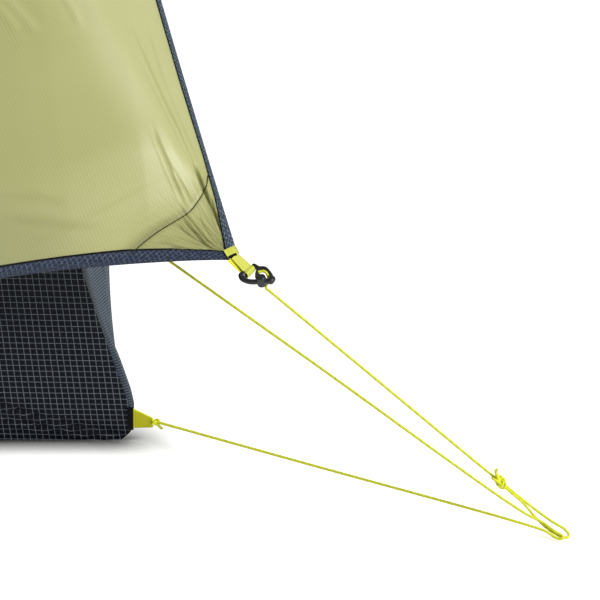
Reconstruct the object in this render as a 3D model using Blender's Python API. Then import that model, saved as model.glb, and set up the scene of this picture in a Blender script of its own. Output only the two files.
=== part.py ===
# A two-person backpacking tent, pitched: pole set, inner tent, fly and foot-end guylines.
# X runs to the foot end, Y to the far side, Z up, in metres. The origin lies on the ground
# under the middle of the floor. The near side is at -Y; the far side mirrors it.

import math

import bmesh
import bpy
import numpy as np

# Clearances and cloth
gap = 0.0003
cloth = 0.0006
seam_flat = 0.0002
seam_half = 0.0004
seam_fold = 0.0007
seam_sharp = 0.0011

# Inner tent
floor_length = 2.160
foot_width = 1.080
head_width = 1.300
foot_edge_sag = 0.045
head_edge_sag = 0.030
wall_height_foot = 0.1965
wall_height_head = 0.200
wall_top_sag = 0.045
foot_seam_upright = 0.022
foot_seam_lean = 0.0560
wall_lean = 0.012
foot_wall_height = 0.420
door_front_low = 0.450
door_front_high = 0.300
door_back_low = -0.700
door_back_high = -0.500
clip_drop = 0.034
wall_fold_depth = 0.004

# Pole set
pole_radius = 0.00435
pole_wall = 0.0006
pole_step = 0.070
insert_length = 0.060
insert_bore = 0.0024
elastic_radius = 0.0012
foot_pole_inset = 0.025
rise_height = 0.635
rise_angle = 79.0
peak_height = 1.000
peak_x = -0.280
hub_x = -0.620
hub_drop = 0.020
leg_top_reach = 0.50
leg_top_drop = 0.060
leg_low_reach = 0.085
leg_low_rise = 0.450
spine_sections = 4
leg_sections = 2
leg_spread = 0.015
socket_start = 0.0125
socket_length = 0.026
tip_nose = 0.007
tip_flange = 0.004
tip_nose_radius = 0.0025

# Fly
ridge_lift = 0.012
corner_reach = 0.0803
corner_out = 0.0516
corner_height = 0.1672
vestibule_x = 0.080
vestibule_reach = 0.570
vestibule_height = 0.040
zip_top = -0.200
hinge_top = -0.300
hinge_share = 0.420
head_corner_out = 0.030
head_hem_sag = 0.050
head_hem_rise = 0.020
head_cut = 0.72
hem_start_reach = 0.42
hem_width = 0.008
hem_thickness = 0.0010
zip_strip = 0.025
inner_strip = 0.015
patch_along_hem = 0.070
patch_along_edge = 0.057
patch_cloth = 0.0004
side_dish = 0.018
shoulder_dish = 0.006
edge_dish = 0.008
corner_fold_height = 0.0018
corner_fold_reach = 0.220
corner_fold_count = 2

# Corner webbing, line lock and cords
stake_out = 0.3204
stake_forward = 0.1540
cord_radius = 0.0010
corner_roll = 20.5
strap_length = 0.0079
strap_width = 0.0085
strap_thickness = 0.0009
bar_radius = 0.0018
lock_slide = 0.0032
lock_tilt = 33.0
lock_width = 0.0202
lock_length = 0.0302
lock_thickness = 0.0032
tab_inset = 0.0002
tab_end = 0.0165
tab_root_height = 0.0151
tab_tip_height = 0.0072
tab_base_height = 0.0099
tab_thickness = 0.0016

finishes = {
    "fly": ((0.72, 0.73, 0.47), 0.45, 0.0),
    "hem": ((0.25, 0.27, 0.32), 0.60, 0.0),
    "black_ripstop": ((0.09, 0.10, 0.12), 0.55, 0.0),
    "slate": ((0.30, 0.34, 0.39), 0.60, 0.0),
    "mesh": ((0.42, 0.44, 0.46), 0.80, 0.0),
    "webbing": ((0.80, 0.80, 0.20), 0.70, 0.0),
    "cord": ((0.80, 0.84, 0.08), 0.65, 0.0),
    "black_plastic": ((0.06, 0.06, 0.07), 0.35, 0.0),
    "pole": ((0.55, 0.57, 0.60), 0.30, 1.0),
    "elastic": ((0.75, 0.75, 0.72), 0.80, 0.0),
}


def vec(x, y, z):
    return np.array([x, y, z], float)


def unit(v):
    return v / np.linalg.norm(v)


def mirrored(points):
    return np.asarray(points) * np.array([1.0, -1.0, 1.0])


def line(start, end, count):
    return np.array([start + (end - start) * t for t in np.linspace(0, 1, count)])


def sagged(start, end, count, sag):
    steps = np.linspace(0, 1, count)
    return np.array([start + (end - start) * t + sag * 4 * t * (1 - t) for t in steps])


def bezier(a, b, c, d, count):
    steps = np.linspace(0, 1, count)
    return np.array(
        [
            a * (1 - t) ** 3 + 3 * b * t * (1 - t) ** 2 + 3 * c * t * t * (1 - t) + d * t**3
            for t in steps
        ]
    )


def lengths(points):
    steps = np.linalg.norm(np.diff(points, axis=0), axis=1)
    return np.concatenate([[0], np.cumsum(steps)])


def at_length(points, along):
    # Points on a polyline at the given distances from its start.
    along = np.atleast_1d(along)
    total = lengths(points)
    return np.array([[np.interp(s, total, points[:, k]) for k in range(3)] for s in along])


def even(points, count):
    return at_length(points, np.linspace(0, lengths(points)[-1], count))


def where_x(points, x):
    # The point of a polyline, whose x falls all the way, at the given x.
    share = np.interp(-x, -points[:, 0], np.arange(len(points)))
    low = min(int(share), len(points) - 2)
    return points[low] + (points[low + 1] - points[low]) * (share - low)


def between_x(points, start_x, end_x, count):
    # The stretch of such a polyline between two values of x, read at even steps.
    inner = [p for p in points if end_x < p[0] < start_x]
    return even(np.array([where_x(points, start_x), *inner, where_x(points, end_x)]), count)


def new_material(name, kind):
    colour, roughness, metallic = finishes[kind]
    material = bpy.data.materials.new(name)
    material.use_nodes = True
    shader = material.node_tree.nodes["Principled BSDF"]
    shader.inputs["Base Color"].default_value = (*colour, 1)
    shader.inputs["Roughness"].default_value = roughness
    shader.inputs["Metallic"].default_value = metallic
    material.diffuse_color = (*colour, 1)
    return material


def add_object(name, data, kind, origin=(0, 0, 0)):
    item = bpy.data.objects.new(name, data)
    item.location = origin
    data.materials.append(new_material(name, kind))
    bpy.context.collection.objects.link(item)
    return item


def add_solid(name, points, faces, kind, origin=(0, 0, 0), smooth=True):
    mesh = bpy.data.meshes.new(name)
    mesh.from_pydata([tuple(np.asarray(p) - np.asarray(origin)) for p in points], [], faces)
    work = bmesh.new()
    work.from_mesh(mesh)
    bmesh.ops.recalc_face_normals(work, faces=work.faces)
    work.to_mesh(mesh)
    work.free()
    if smooth:
        mesh.shade_smooth()
        mesh.set_sharp_from_angle(angle=math.radians(40))
    return add_object(name, mesh, kind, origin)


def coons(bottom, top, left, right):
    # A surface between four edge curves; rows run from bottom to top, columns left to right.
    rows, columns = len(left), len(bottom)
    grid = np.zeros((rows, columns, 3))
    for j, v in enumerate(np.linspace(0, 1, rows)):
        for i, u in enumerate(np.linspace(0, 1, columns)):
            corners = (1 - v) * ((1 - u) * bottom[0] + u * bottom[-1]) + v * (
                (1 - u) * top[0] + u * top[-1]
            )
            grid[j, i] = (
                (1 - v) * bottom[i] + v * top[i] + (1 - u) * left[j] + u * right[j] - corners
            )
    return grid


def row_normals(grid):
    along = np.gradient(grid, axis=1)
    across = np.gradient(grid, axis=0)
    normals = np.cross(along, across)
    normals /= np.linalg.norm(normals, axis=2, keepdims=True)
    middle = grid.reshape(-1, 3).mean(axis=0)
    outward = middle - np.array([middle[0] * 0.6, 0, 0.25])
    if np.sum(normals.mean(axis=(0, 1)) * outward) < 0:
        normals = -normals
    return normals


def inset(grid, bottom=0.0, top=0.0, left=0.0, right=0.0):
    # Each edge drawn back along the surface by its own distance.
    grid = grid.copy()
    grid[0] += unit_rows(grid[1] - grid[0]) * bottom
    grid[-1] += unit_rows(grid[-2] - grid[-1]) * top
    grid[:, 0] += unit_rows(grid[:, 1] - grid[:, 0]) * left
    grid[:, -1] += unit_rows(grid[:, -2] - grid[:, -1]) * right
    return grid


def unit_rows(vectors):
    return vectors / np.linalg.norm(vectors, axis=1, keepdims=True)


def thick_sheet(name, outer, inner, kind, origin=(0, 0, 0)):
    # A closed sheet between two grids of points that match.
    rows, columns = outer.shape[:2]
    count = rows * columns
    points = np.concatenate([outer.reshape(-1, 3), inner.reshape(-1, 3)])
    faces = []
    for j in range(rows - 1):
        for i in range(columns - 1):
            a = j * columns + i
            b, c, d = a + 1, a + columns + 1, a + columns
            faces += [(a, b, c), (a, c, d)]
            faces += [(count + c, count + b, count + a), (count + d, count + c, count + a)]
    rim = [i for i in range(columns)]
    rim += [j * columns + columns - 1 for j in range(1, rows)]
    rim += [(rows - 1) * columns + i for i in range(columns - 2, -1, -1)]
    rim += [j * columns for j in range(rows - 2, 0, -1)]
    for a, b in zip(rim, rim[1:] + rim[:1]):
        faces.append((a, count + a, count + b, b))
    return add_solid(name, points, faces, kind, origin)


def panel(name, grid, kind, thickness=cloth, depth=0.0, origin=(0, 0, 0)):
    normals = row_normals(grid)
    outer = grid - normals * depth
    return thick_sheet(name, outer, outer - normals * thickness, kind, origin)


def frames_along(path):
    # A tangent and two side directions at each point, carried along without twist.
    tangents = np.gradient(path, axis=0)
    tangents = unit_rows(tangents)
    side = unit(np.cross(tangents[0], vec(0.13, 0.97, 0.21)))
    frames = []
    for tangent in tangents:
        side = unit(side - tangent * np.dot(side, tangent))
        frames.append((tangent, side, np.cross(tangent, side)))
    return frames


def ringed(name, stations, kind, sides, closed, origin=(0, 0, 0)):
    # A skin over rings given as centre, frame and radius. A closed one is a pipe whose
    # last ring joins its first, and an open one has flat ends.
    points, faces = [], []
    for centre, (_, side, other), radius in stations:
        for k in range(sides):
            turn = 2 * math.pi * k / sides
            points.append(centre + radius * (math.cos(turn) * side + math.sin(turn) * other))
    pairs = list(zip(range(len(stations)), range(1, len(stations))))
    if closed:
        pairs.append((len(stations) - 1, 0))
    for low, high in pairs:
        for k in range(sides):
            n = (k + 1) % sides
            faces.append((low * sides + k, low * sides + n, high * sides + n, high * sides + k))
    if not closed:
        faces.append(tuple(range(sides)))
        faces.append(tuple(range((len(stations) - 1) * sides, len(stations) * sides)))
    return add_solid(name, points, faces, kind, origin)


class PolePath:
    # A pole's centreline as straight chords, which its sections and its elastic share.
    def __init__(self, points):
        count = max(2, round(lengths(points)[-1] / pole_step)) + 1
        self.points = even(points, count)
        self.total = lengths(self.points)
        self.frames = frames_along(self.points)

    @property
    def length(self):
        return self.total[-1]

    def station(self, along, radius):
        # A ring square to the chord, or square to the bend at a chord's end.
        low = int(np.clip(np.searchsorted(self.total, along) - 1, 0, len(self.points) - 2))
        share = (along - self.total[low]) / (self.total[low + 1] - self.total[low])
        centre = self.points[low] + (self.points[low + 1] - self.points[low]) * share
        if share < 1e-6:
            frame = self.frames[low]
        elif share > 1 - 1e-6:
            frame = self.frames[low + 1]
        else:
            tangent = unit(self.points[low + 1] - self.points[low])
            side = unit(self.frames[low][1] - tangent * np.dot(self.frames[low][1], tangent))
            frame = (tangent, side, np.cross(tangent, side))
        return centre, frame, radius

    def run(self, start, end, radius):
        # Stations from one place to another, also backwards, with every bend between.
        low, high = min(start, end), max(start, end)
        bends = [s for s in self.total if low + 1e-4 < s < high - 1e-4]
        places = [low, *bends, high]
        if start > end:
            places.reverse()
        return [self.station(s, radius) for s in places]

    def direction(self, along):
        return self.station(along, 1.0)[1][0]


def pole_section(name, path, start, end, has_insert):
    bore = pole_radius - pole_wall
    stations = path.run(start, end, pole_radius)
    if has_insert:
        stations += path.run(end, end + insert_length, bore - gap)
        stations += path.run(end + insert_length, end - insert_length, insert_bore)
        stations += path.run(end - insert_length, start, bore)
    else:
        stations += path.run(end, start, bore)
    return ringed(name, stations, "pole", 8, True)


def turned(name, base, axis, profile, kind, sides=16):
    # A round piece from distances along its axis and radii there.
    side = unit(np.cross(axis, vec(0.3, 1, 0.2)))
    frame = (axis, side, np.cross(axis, side))
    return ringed(name, [(base + axis * s, frame, r) for s, r in profile], kind, sides, False)


def extruded(name, outline, base, across, up, along, depth, kind, origin=(0, 0, 0)):
    # A flat outline, given across and up from its base, pushed along a third direction.
    flat = [base + across * x + up * y for x, y in outline]
    points = [p - along * depth / 2 for p in flat] + [p + along * depth / 2 for p in flat]
    count = len(flat)
    faces = [tuple(range(count)), tuple(range(2 * count - 1, count - 1, -1))]
    for i in range(count):
        n = (i + 1) % count
        faces.append((i, n, count + n, count + i))
    return add_solid(name, points, faces, kind, origin, smooth=False)


def arc(centre_x, centre_y, radius, start, end, count):
    turns = np.radians(np.linspace(start, end, count))
    return [(centre_x + radius * math.cos(a), centre_y + radius * math.sin(a)) for a in turns]


def cut(item, tool, operation="DIFFERENCE"):
    # The tool is joined to or taken from the item, and then only the item is left.
    change = item.modifiers.new(tool.name, "BOOLEAN")
    change.object = tool
    change.operation = operation
    change.solver = "EXACT"
    bpy.context.view_layer.update()
    depsgraph = bpy.context.evaluated_depsgraph_get()
    mesh = bpy.data.meshes.new_from_object(item.evaluated_get(depsgraph))
    item.modifiers.clear()
    item.data = mesh
    while len(mesh.materials) > 1:
        mesh.materials.pop()
    bpy.data.objects.remove(tool)


def rod(name, start, end, radius, kind, sides=16):
    axis = unit(end - start)
    reach = np.linalg.norm(end - start)
    return turned(name, start, axis, [(0, radius), (reach, radius)], kind, sides)


for item in list(bpy.data.objects):
    bpy.data.objects.remove(item)

# Lines that the pieces share, on the near side
foot_corner = vec(floor_length / 2, -foot_width / 2, 0)
head_corner = vec(-floor_length / 2, -head_width / 2, 0)
seam_knee = foot_corner + vec(0, 0, foot_seam_upright)
pull_out = foot_corner + vec(-foot_seam_lean, wall_lean, wall_height_foot)
head_wall_top = head_corner + vec(0.030, 0.030, wall_height_head)

pole_foot = vec(floor_length / 2 - foot_pole_inset, 0, tip_nose + tip_flange + gap)
rise_run = rise_height / math.tan(math.radians(rise_angle))
elbow = pole_foot + vec(-rise_run, 0, rise_height)
hub_point = vec(hub_x, 0, peak_height - hub_drop)
arch_turns = np.radians(np.linspace(4, 90, 32))
arch = [
    vec(
        peak_x + (elbow[0] - peak_x) * math.cos(a),
        0,
        elbow[2] + (peak_height - elbow[2]) * math.sin(a),
    )
    for a in arch_turns
]
back_slope = bezier(
    arch[-1],
    arch[-1] + vec((hub_x - peak_x) * 0.4, 0, 0),
    hub_point + vec((peak_x - hub_x) * 0.3, 0, hub_drop * 0.5),
    hub_point,
    8,
)
spine = PolePath(np.array([*line(pole_foot, elbow, 12), *arch, *back_slope[1:]]))

leg_foot = head_corner + vec(-leg_spread, -leg_spread, tip_nose + tip_flange + gap)
leg_plan = leg_foot - hub_point
leg_out = unit(vec(leg_plan[0], leg_plan[1], 0))
leg_reach = math.hypot(leg_plan[0], leg_plan[1])
near_leg = PolePath(
    bezier(
        hub_point,
        hub_point + leg_out * leg_reach * leg_top_reach + vec(0, 0, -leg_top_drop),
        leg_foot - leg_out * leg_reach * leg_low_reach + vec(0, 0, leg_low_rise),
        leg_foot,
        60,
    )
)


def beside_spine(lift):
    # The spine's line moved square to itself, outwards for a lift above zero.
    tangents = unit_rows(np.gradient(spine.points, axis=0))
    return spine.points + lift * np.stack(
        [tangents[:, 2], 0 * tangents[:, 0], -tangents[:, 0]], axis=1
    )


def beside_leg(lift):
    # The near leg's line moved square to itself in the leg's own upright plane.
    tangents = unit_rows(np.gradient(near_leg.points, axis=0))
    sides = [unit(vec(0, 0, 1) * np.dot(t, leg_out) - leg_out * t[2]) for t in tangents]
    return near_leg.points + np.array(sides) * np.reshape(lift, (-1, 1))


fly_ridge = beside_spine(ridge_lift)
inner_ridge = beside_spine(-clip_drop)
leg_shares = near_leg.total / near_leg.length
fly_leg = beside_leg(ridge_lift + head_corner_out * leg_shares**2)
inner_leg = beside_leg(-clip_drop * np.ones(len(leg_shares)))
fly_leg[0] = fly_ridge[-1]
inner_leg[0] = inner_ridge[-1]


def both_sides(name, build):
    # The same piece for the near side and, mirrored, for the far side.
    build(name + "_near", lambda points: points)
    build(name + "_far", mirrored)


# Pole set: a spine in four sections, a hub and two legs in two sections each
def build_pole(label, path, start, end, count):
    share = (end - start) / count
    for k in range(count):
        low = start + k * share + (gap if k else 0)
        pole_section(f"{label}_{k + 1}", path, low, start + (k + 1) * share, k < count - 1)


class MirroredPath(PolePath):
    def __init__(self, path):
        self.points = mirrored(path.points)
        self.total = path.total
        self.frames = frames_along(self.points)


far_leg = MirroredPath(near_leg)
build_pole("spine_section", spine, 0, spine.length - socket_start, spine_sections)
build_pole("leg_section_near", near_leg, socket_start, near_leg.length, leg_sections)
build_pole("leg_section_far", far_leg, socket_start, near_leg.length, leg_sections)

tip_inside = 0.020
tip_profile = [
    (-tip_flange - tip_nose, tip_nose_radius * 0.6),
    (-tip_flange - tip_nose + 0.001, tip_nose_radius),
    (-tip_flange, tip_nose_radius),
    (-tip_flange, pole_radius),
    (-gap, pole_radius),
    (-gap, pole_radius - pole_wall - gap),
    (tip_inside, pole_radius - pole_wall - gap),
]
turned("foot_pole_tip", pole_foot, spine.direction(0), tip_profile, "black_plastic")
leg_axis = -near_leg.direction(near_leg.length)
both_sides(
    "leg_pole_tip",
    lambda name, side: turned(name, side(leg_foot), side(leg_axis), tip_profile, "black_plastic"),
)

elastic_start = tip_inside + gap
spine_elastic = spine.run(elastic_start, spine.length - socket_start - 0.004, elastic_radius)
ringed("spine_elastic_cord", spine_elastic, "elastic", 6, False)
leg_run = near_leg.run(near_leg.length - elastic_start, 0.010, elastic_radius)
leg_centres = np.array([station[0] for station in leg_run])
into_hub = leg_centres[-1]
hub_bend = bezier(into_hub, hub_point, hub_point, mirrored(into_hub), 7)[1:-1]
leg_line = np.array([*leg_centres, *hub_bend, *mirrored(leg_centres)[::-1]])
leg_stations = [(p, f, elastic_radius) for p, f in zip(leg_line, frames_along(leg_line))]
ringed("leg_elastic_cord", leg_stations, "elastic", 6, False)

hub_ball_radius = 0.009
socket_radius = pole_radius + gap + 0.0018
hub_arms = [
    -spine.direction(spine.length - 0.001),
    near_leg.direction(0.001),
    far_leg.direction(0.001),
]
ball_profile = [
    (hub_ball_radius * math.sin(a), hub_ball_radius * math.cos(a))
    for a in np.radians(np.linspace(-80, 80, 7))
]
hub = turned("pole_hub", hub_point, vec(0, 0, 1), ball_profile, "black_plastic", 12)
for number, arm in enumerate(hub_arms):
    reach = socket_start + socket_length
    socket = rod(f"socket_{number}", hub_point, hub_point + arm * reach, socket_radius, "pole", 12)
    cut(hub, socket, "UNION")
for number, arm in enumerate(hub_arms):
    bore_start = hub_point + arm * (socket_start - gap)
    bore_end = hub_point + arm * (socket_start + socket_length + 0.002)
    cut(hub, rod(f"bore_{number}", bore_start, bore_end, pole_radius + gap, "pole", 12))
    cut(hub, rod(f"channel_{number}", hub_point, bore_start + arm * gap, insert_bore, "pole", 8))

# Fly
fly_top = where_x(fly_ridge, elbow[0] + ridge_lift)
fly_corner = foot_corner + vec(corner_reach, -corner_out, corner_height)
head_end_share = (floor_length / 2 - vestibule_x) / floor_length
vestibule_edge = foot_width / 2 + (head_width - foot_width) / 2 * head_end_share
vestibule_point = vec(vestibule_x, -vestibule_edge - vestibule_reach, vestibule_height)
zip_point = where_x(fly_ridge, zip_top)
hinge_point = where_x(fly_ridge, hinge_top)
fly_head_corner = fly_leg[-1]
hinge_foot = vestibule_point + (fly_head_corner - vestibule_point) * hinge_share
strip_shift = vec(zip_strip, 0, 0)

edge_run = unit(head_corner - foot_corner)
hem_end = vestibule_point + strip_shift
hem_line = bezier(
    fly_corner,
    fly_corner + edge_run * hem_start_reach,
    hem_end + (fly_corner - hem_end) * vec(0.30, 0.22, 0.40),
    hem_end,
    80,
)


def graded(count, power, first):
    # Shares from 0 to 1, closer together at the start, with one fixed first step.
    rest = (np.arange(1, count) / (count - 1)) ** power
    return np.concatenate([[0, first], first + (1 - first) * rest])


def read_at(points, shares):
    return at_length(points, shares * lengths(points)[-1])


side_columns = 16
side_rows = 13
side_u = graded(side_columns, 1.5, 0.006)
side_v = graded(side_rows, 1.4, 0.011)
foot_edge_line = sagged(fly_corner, fly_top, 60, vec(-edge_dish, 0, edge_dish * 0.4))
ridge_end = zip_point + strip_shift
side_ridge = between_x(fly_ridge, fly_top[0], ridge_end[0], 60)
side_ridge[-1] = ridge_end
side_grid = coons(
    read_at(hem_line, side_u),
    read_at(side_ridge, side_u),
    read_at(foot_edge_line, side_v),
    read_at(line(hem_end, ridge_end, 2), side_v),
)


def corner_folds(grid, normals):
    # Shallow folds that fan out of the webbed corner and fade away from it.
    grid = grid.copy()
    corner = grid[0, 0]
    along_hem = unit(grid[0, 2] - corner)
    along_edge = unit(grid[2, 0] - corner)
    full = math.acos(np.clip(np.dot(along_hem, along_edge), -1, 1))
    for j in range(2, grid.shape[0] - 1):
        for i in range(2, grid.shape[1] - 1):
            away = grid[j, i] - corner
            reach = np.linalg.norm(away)
            turn = math.acos(np.clip(np.dot(away / reach, along_hem), -1, 1)) / full
            strength = (reach / corner_fold_reach) * math.exp(1 - reach / corner_fold_reach)
            wave = math.sin(math.pi * np.clip(turn, 0, 1))
            wave *= math.cos(2 * math.pi * corner_fold_count * turn)
            grid[j, i] -= normals[j, i] * corner_fold_height * strength * wave
    return grid


def dished(grid, depth):
    # A stretched panel draws in a little between its edges.
    rows, columns = grid.shape[:2]
    normals = row_normals(grid)
    u = lengths(grid[rows // 2])
    v = lengths(grid[:, columns // 2])
    share_u = (u / u[-1])[None, :, None]
    share_v = (v / v[-1])[:, None, None]
    return grid - normals * depth * 16 * share_u * (1 - share_u) * share_v * (1 - share_v)


side_grid = dished(side_grid, side_dish)
side_grid = corner_folds(side_grid, row_normals(side_grid))
side_grid[1] = side_grid[0] + unit_rows(side_grid[2] - side_grid[0]) * hem_width
side_grid[:, 1] = side_grid[:, 0] + unit_rows(side_grid[:, 2] - side_grid[:, 0]) * hem_width
strip_column = np.array([p - strip_shift for p in side_grid[:, -1]])
side_grid = np.concatenate([side_grid, strip_column[:, None]], axis=1)

side_cloth = inset(side_grid[1:, 1:], gap / 2, seam_fold, gap / 2, seam_flat)
hem_band = inset(side_grid[:2, 1:], 0, gap / 2, gap / 2, seam_flat)
foot_band = inset(side_grid[:, :2], 0, seam_fold, 0, gap / 2)
both_sides("fly_side", lambda name, side: panel(name, side(side_cloth), "fly"))
both_sides("fly_hem", lambda name, side: panel(name, side(hem_band), "hem", hem_thickness))
both_sides(
    "fly_foot_binding", lambda name, side: panel(name, side(foot_band), "hem", hem_thickness)
)

door_rows = 9
door_columns = 5
door_grid = coons(
    line(vestibule_point, hinge_foot, door_columns),
    between_x(fly_ridge, zip_top, hinge_top, door_columns),
    line(vestibule_point, zip_point, door_rows),
    line(hinge_foot, hinge_point, door_rows),
)
door_cloth = inset(door_grid, 0, seam_sharp, seam_fold, seam_fold)
both_sides(
    "fly_door",
    lambda name, side: panel(name, side(door_cloth), "fly", origin=side(hinge_foot)),
)

leg_rows = 11
fly_leg_up = even(fly_leg[::-1], leg_rows)
shoulder_grid = coons(
    line(hinge_foot, fly_head_corner, 5),
    between_x(fly_ridge, hinge_top, fly_ridge[-1][0], 5),
    line(hinge_foot, hinge_point, leg_rows),
    fly_leg_up,
)
shoulder_grid = dished(shoulder_grid, shoulder_dish)
shoulder_cloth = inset(shoulder_grid, 0, seam_sharp, seam_flat, seam_sharp)
both_sides("fly_shoulder", lambda name, side: panel(name, side(shoulder_cloth), "fly"))


def between_legs(leg_up, low_sag, columns):
    # The end panel between both legs, cut off just under the hub.
    edge = leg_up.copy()
    edge[-1] = edge[-2] + (edge[-1] - edge[-2]) * head_cut
    return coons(
        sagged(edge[0], mirrored(edge[0]), columns, low_sag),
        line(edge[-1], mirrored(edge[-1]), columns),
        edge,
        mirrored(edge),
    )


head_grid = between_legs(fly_leg_up, vec(head_hem_sag, 0, head_hem_rise), 9)
panel(
    "fly_head",
    inset(head_grid, 0, 0, seam_sharp, seam_sharp),
    "fly",
)

# Reinforcing patches inside the foot corners of the fly
patch_steps = 6
patch_start = hem_width + 0.002
patch_root = 0.006
patch_draw = 0.24


def fly_point(along_hem, along_edge):
    # A point on the fly's side near its corner, at distances along the hem and the edge.
    hem_places = lengths(side_grid[0])
    edge_places = lengths(side_grid[:, 0])
    i = int(np.clip(np.searchsorted(hem_places, along_hem) - 1, 0, len(hem_places) - 2))
    j = int(np.clip(np.searchsorted(edge_places, along_edge) - 1, 0, len(edge_places) - 2))
    u = (along_hem - hem_places[i]) / (hem_places[i + 1] - hem_places[i])
    v = (along_edge - edge_places[j]) / (edge_places[j + 1] - edge_places[j])
    low = side_grid[j, i] * (1 - u) + side_grid[j, i + 1] * u
    high = side_grid[j + 1, i] * (1 - u) + side_grid[j + 1, i + 1] * u
    return low * (1 - v) + high * v


def patch_grid():
    # A corner piece whose free edge is drawn in towards the corner.
    rows = []
    for j in range(patch_steps + 1):
        turn = j / patch_steps
        reach = 1 - patch_draw * 4 * turn * (1 - turn)
        row = []
        for i in range(patch_steps + 1):
            share = i / patch_steps * reach
            row.append(
                fly_point(
                    patch_start + (patch_along_hem - patch_start) * share * (1 - turn),
                    patch_start + (patch_along_edge - patch_start) * share * turn,
                )
            )
        rows.append(row)
    return np.array(rows)


def corner_patch(name, side):
    # The fan of rows starts from a short edge, so that no two corners meet in a point.
    grid = patch_grid()
    grid[:, 0] = [
        fly_point(
            patch_start + patch_root * (1 - j / patch_steps),
            patch_start + patch_root * j / patch_steps,
        )
        for j in range(patch_steps + 1)
    ]
    panel(name, side(grid), "fly", patch_cloth, cloth + 3 * gap)


both_sides("fly_corner_patch", corner_patch)

# Inner tent
wall_top = sagged(pull_out, head_wall_top, 121, vec(0, 0, -wall_top_sag))
foot_run = 9
door_run = 7
back_run = 4
wall_points = np.concatenate(
    [
        between_x(wall_top, pull_out[0], door_front_low, foot_run),
        between_x(wall_top, door_front_low, door_back_low, door_run)[1:],
        between_x(wall_top, door_back_low, head_wall_top[0], back_run)[1:],
    ]
)
wall_shares = (wall_points[:, 0] - pull_out[0]) / (head_wall_top[0] - pull_out[0])
seam_rows = 8
foot_seam = np.array([foot_corner, *line(seam_knee, pull_out, seam_rows - 1)])
seam_shares = foot_seam[:, 2] / pull_out[2]
head_seam = np.array([head_corner + (head_wall_top - head_corner) * s for s in seam_shares])
floor_edge = np.array([foot_corner + (head_corner - foot_corner) * s for s in wall_shares])
wall_grid = coons(floor_edge, wall_points, foot_seam, head_seam)
for j in range(1, seam_rows - 1):
    for i in range(1, len(wall_shares) - 1):
        height = seam_shares[j]
        fade = min(1, wall_shares[i] * 12) * min(1, (1 - wall_shares[i]) * 12)
        slack = math.sin(2 * math.pi * (height * 1.6 + wall_shares[i] * 0.7))
        wall_grid[j, i, 1] -= wall_fold_depth * fade * slack * (1 - height)
wall_cloth = inset(wall_grid, gap, seam_half, seam_sharp, seam_sharp)
both_sides("side_wall", lambda name, side: panel(name, side(wall_cloth), "black_ripstop"))


def floor_end(corner, sag, count):
    return sagged(corner, mirrored(corner), count, vec(sag, 0, 0))


end_columns = 13
floor_grid = coons(
    line(foot_corner, head_corner, 5),
    mirrored(line(foot_corner, head_corner, 5)),
    floor_end(foot_corner, -foot_edge_sag, end_columns),
    floor_end(head_corner, head_edge_sag, end_columns),
)
floor_margin = cloth + 2 * gap
panel(
    "floor",
    inset(floor_grid, floor_margin, floor_margin, floor_margin, floor_margin),
    "black_ripstop",
)

foot_wall_back = foot_wall_height / math.tan(math.radians(rise_angle))
foot_wall_peak = where_x(inner_ridge, inner_ridge[0][0] - foot_wall_back)
foot_wall_top = np.concatenate(
    [
        line(pull_out, foot_wall_peak, end_columns // 2 + 1),
        mirrored(line(pull_out, foot_wall_peak, end_columns // 2 + 1))[::-1][1:],
    ]
)
foot_wall_grid = coons(
    floor_end(foot_corner, -foot_edge_sag, end_columns),
    foot_wall_top,
    foot_seam,
    mirrored(foot_seam),
)
panel(
    "foot_end_wall",
    inset(foot_wall_grid, gap, seam_fold, seam_sharp, seam_sharp),
    "slate",
)
head_wall_grid = coons(
    floor_end(head_corner, head_edge_sag, end_columns),
    sagged(head_wall_top, mirrored(head_wall_top), end_columns, vec(head_edge_sag, 0, 0)),
    head_seam,
    mirrored(head_seam),
)
panel(
    "head_end_wall",
    inset(head_wall_grid, gap, seam_half, seam_sharp, seam_sharp),
    "slate",
)

door_low_front = wall_points[foot_run - 1]
door_low_back = wall_points[foot_run + door_run - 2]
door_high_front = where_x(inner_ridge, door_front_high)
door_high_back = where_x(inner_ridge, door_back_high)
inner_rows = 8
inner_zip = line(door_low_front, door_high_front, inner_rows)
wall_way = unit(wall_points[foot_run - 2] - door_low_front)
inner_strip_edge = line(
    door_low_front + wall_way * inner_strip, door_high_front + vec(inner_strip, 0, 0), inner_rows
)
ridge_end_x = door_high_front[0] + 2.5 * inner_strip
ridge_run = between_x(inner_ridge, foot_wall_peak[0], ridge_end_x, foot_run - 1)
canopy_foot_grid = coons(
    wall_points[: foot_run - 1],
    ridge_run,
    line(pull_out, foot_wall_peak, inner_rows),
    line(wall_points[foot_run - 2], ridge_run[-1], inner_rows),
)
canopy_foot_grid = np.concatenate(
    [canopy_foot_grid, inner_strip_edge[:, None], inner_zip[:, None]], axis=1
)
canopy_foot = inset(canopy_foot_grid, seam_half, seam_sharp, seam_fold, seam_flat)
both_sides("canopy_foot", lambda name, side: panel(name, side(canopy_foot), "mesh"))

inner_door_grid = coons(
    wall_points[foot_run - 1 : foot_run + door_run - 1],
    between_x(inner_ridge, door_front_high, door_back_high, door_run),
    inner_zip,
    line(door_low_back, door_high_back, inner_rows),
)
inner_door = inset(inner_door_grid, seam_fold, seam_sharp, seam_fold, seam_fold)
both_sides(
    "inner_door",
    lambda name, side: panel(name, side(inner_door), "mesh", origin=side(door_low_back)),
)

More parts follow.
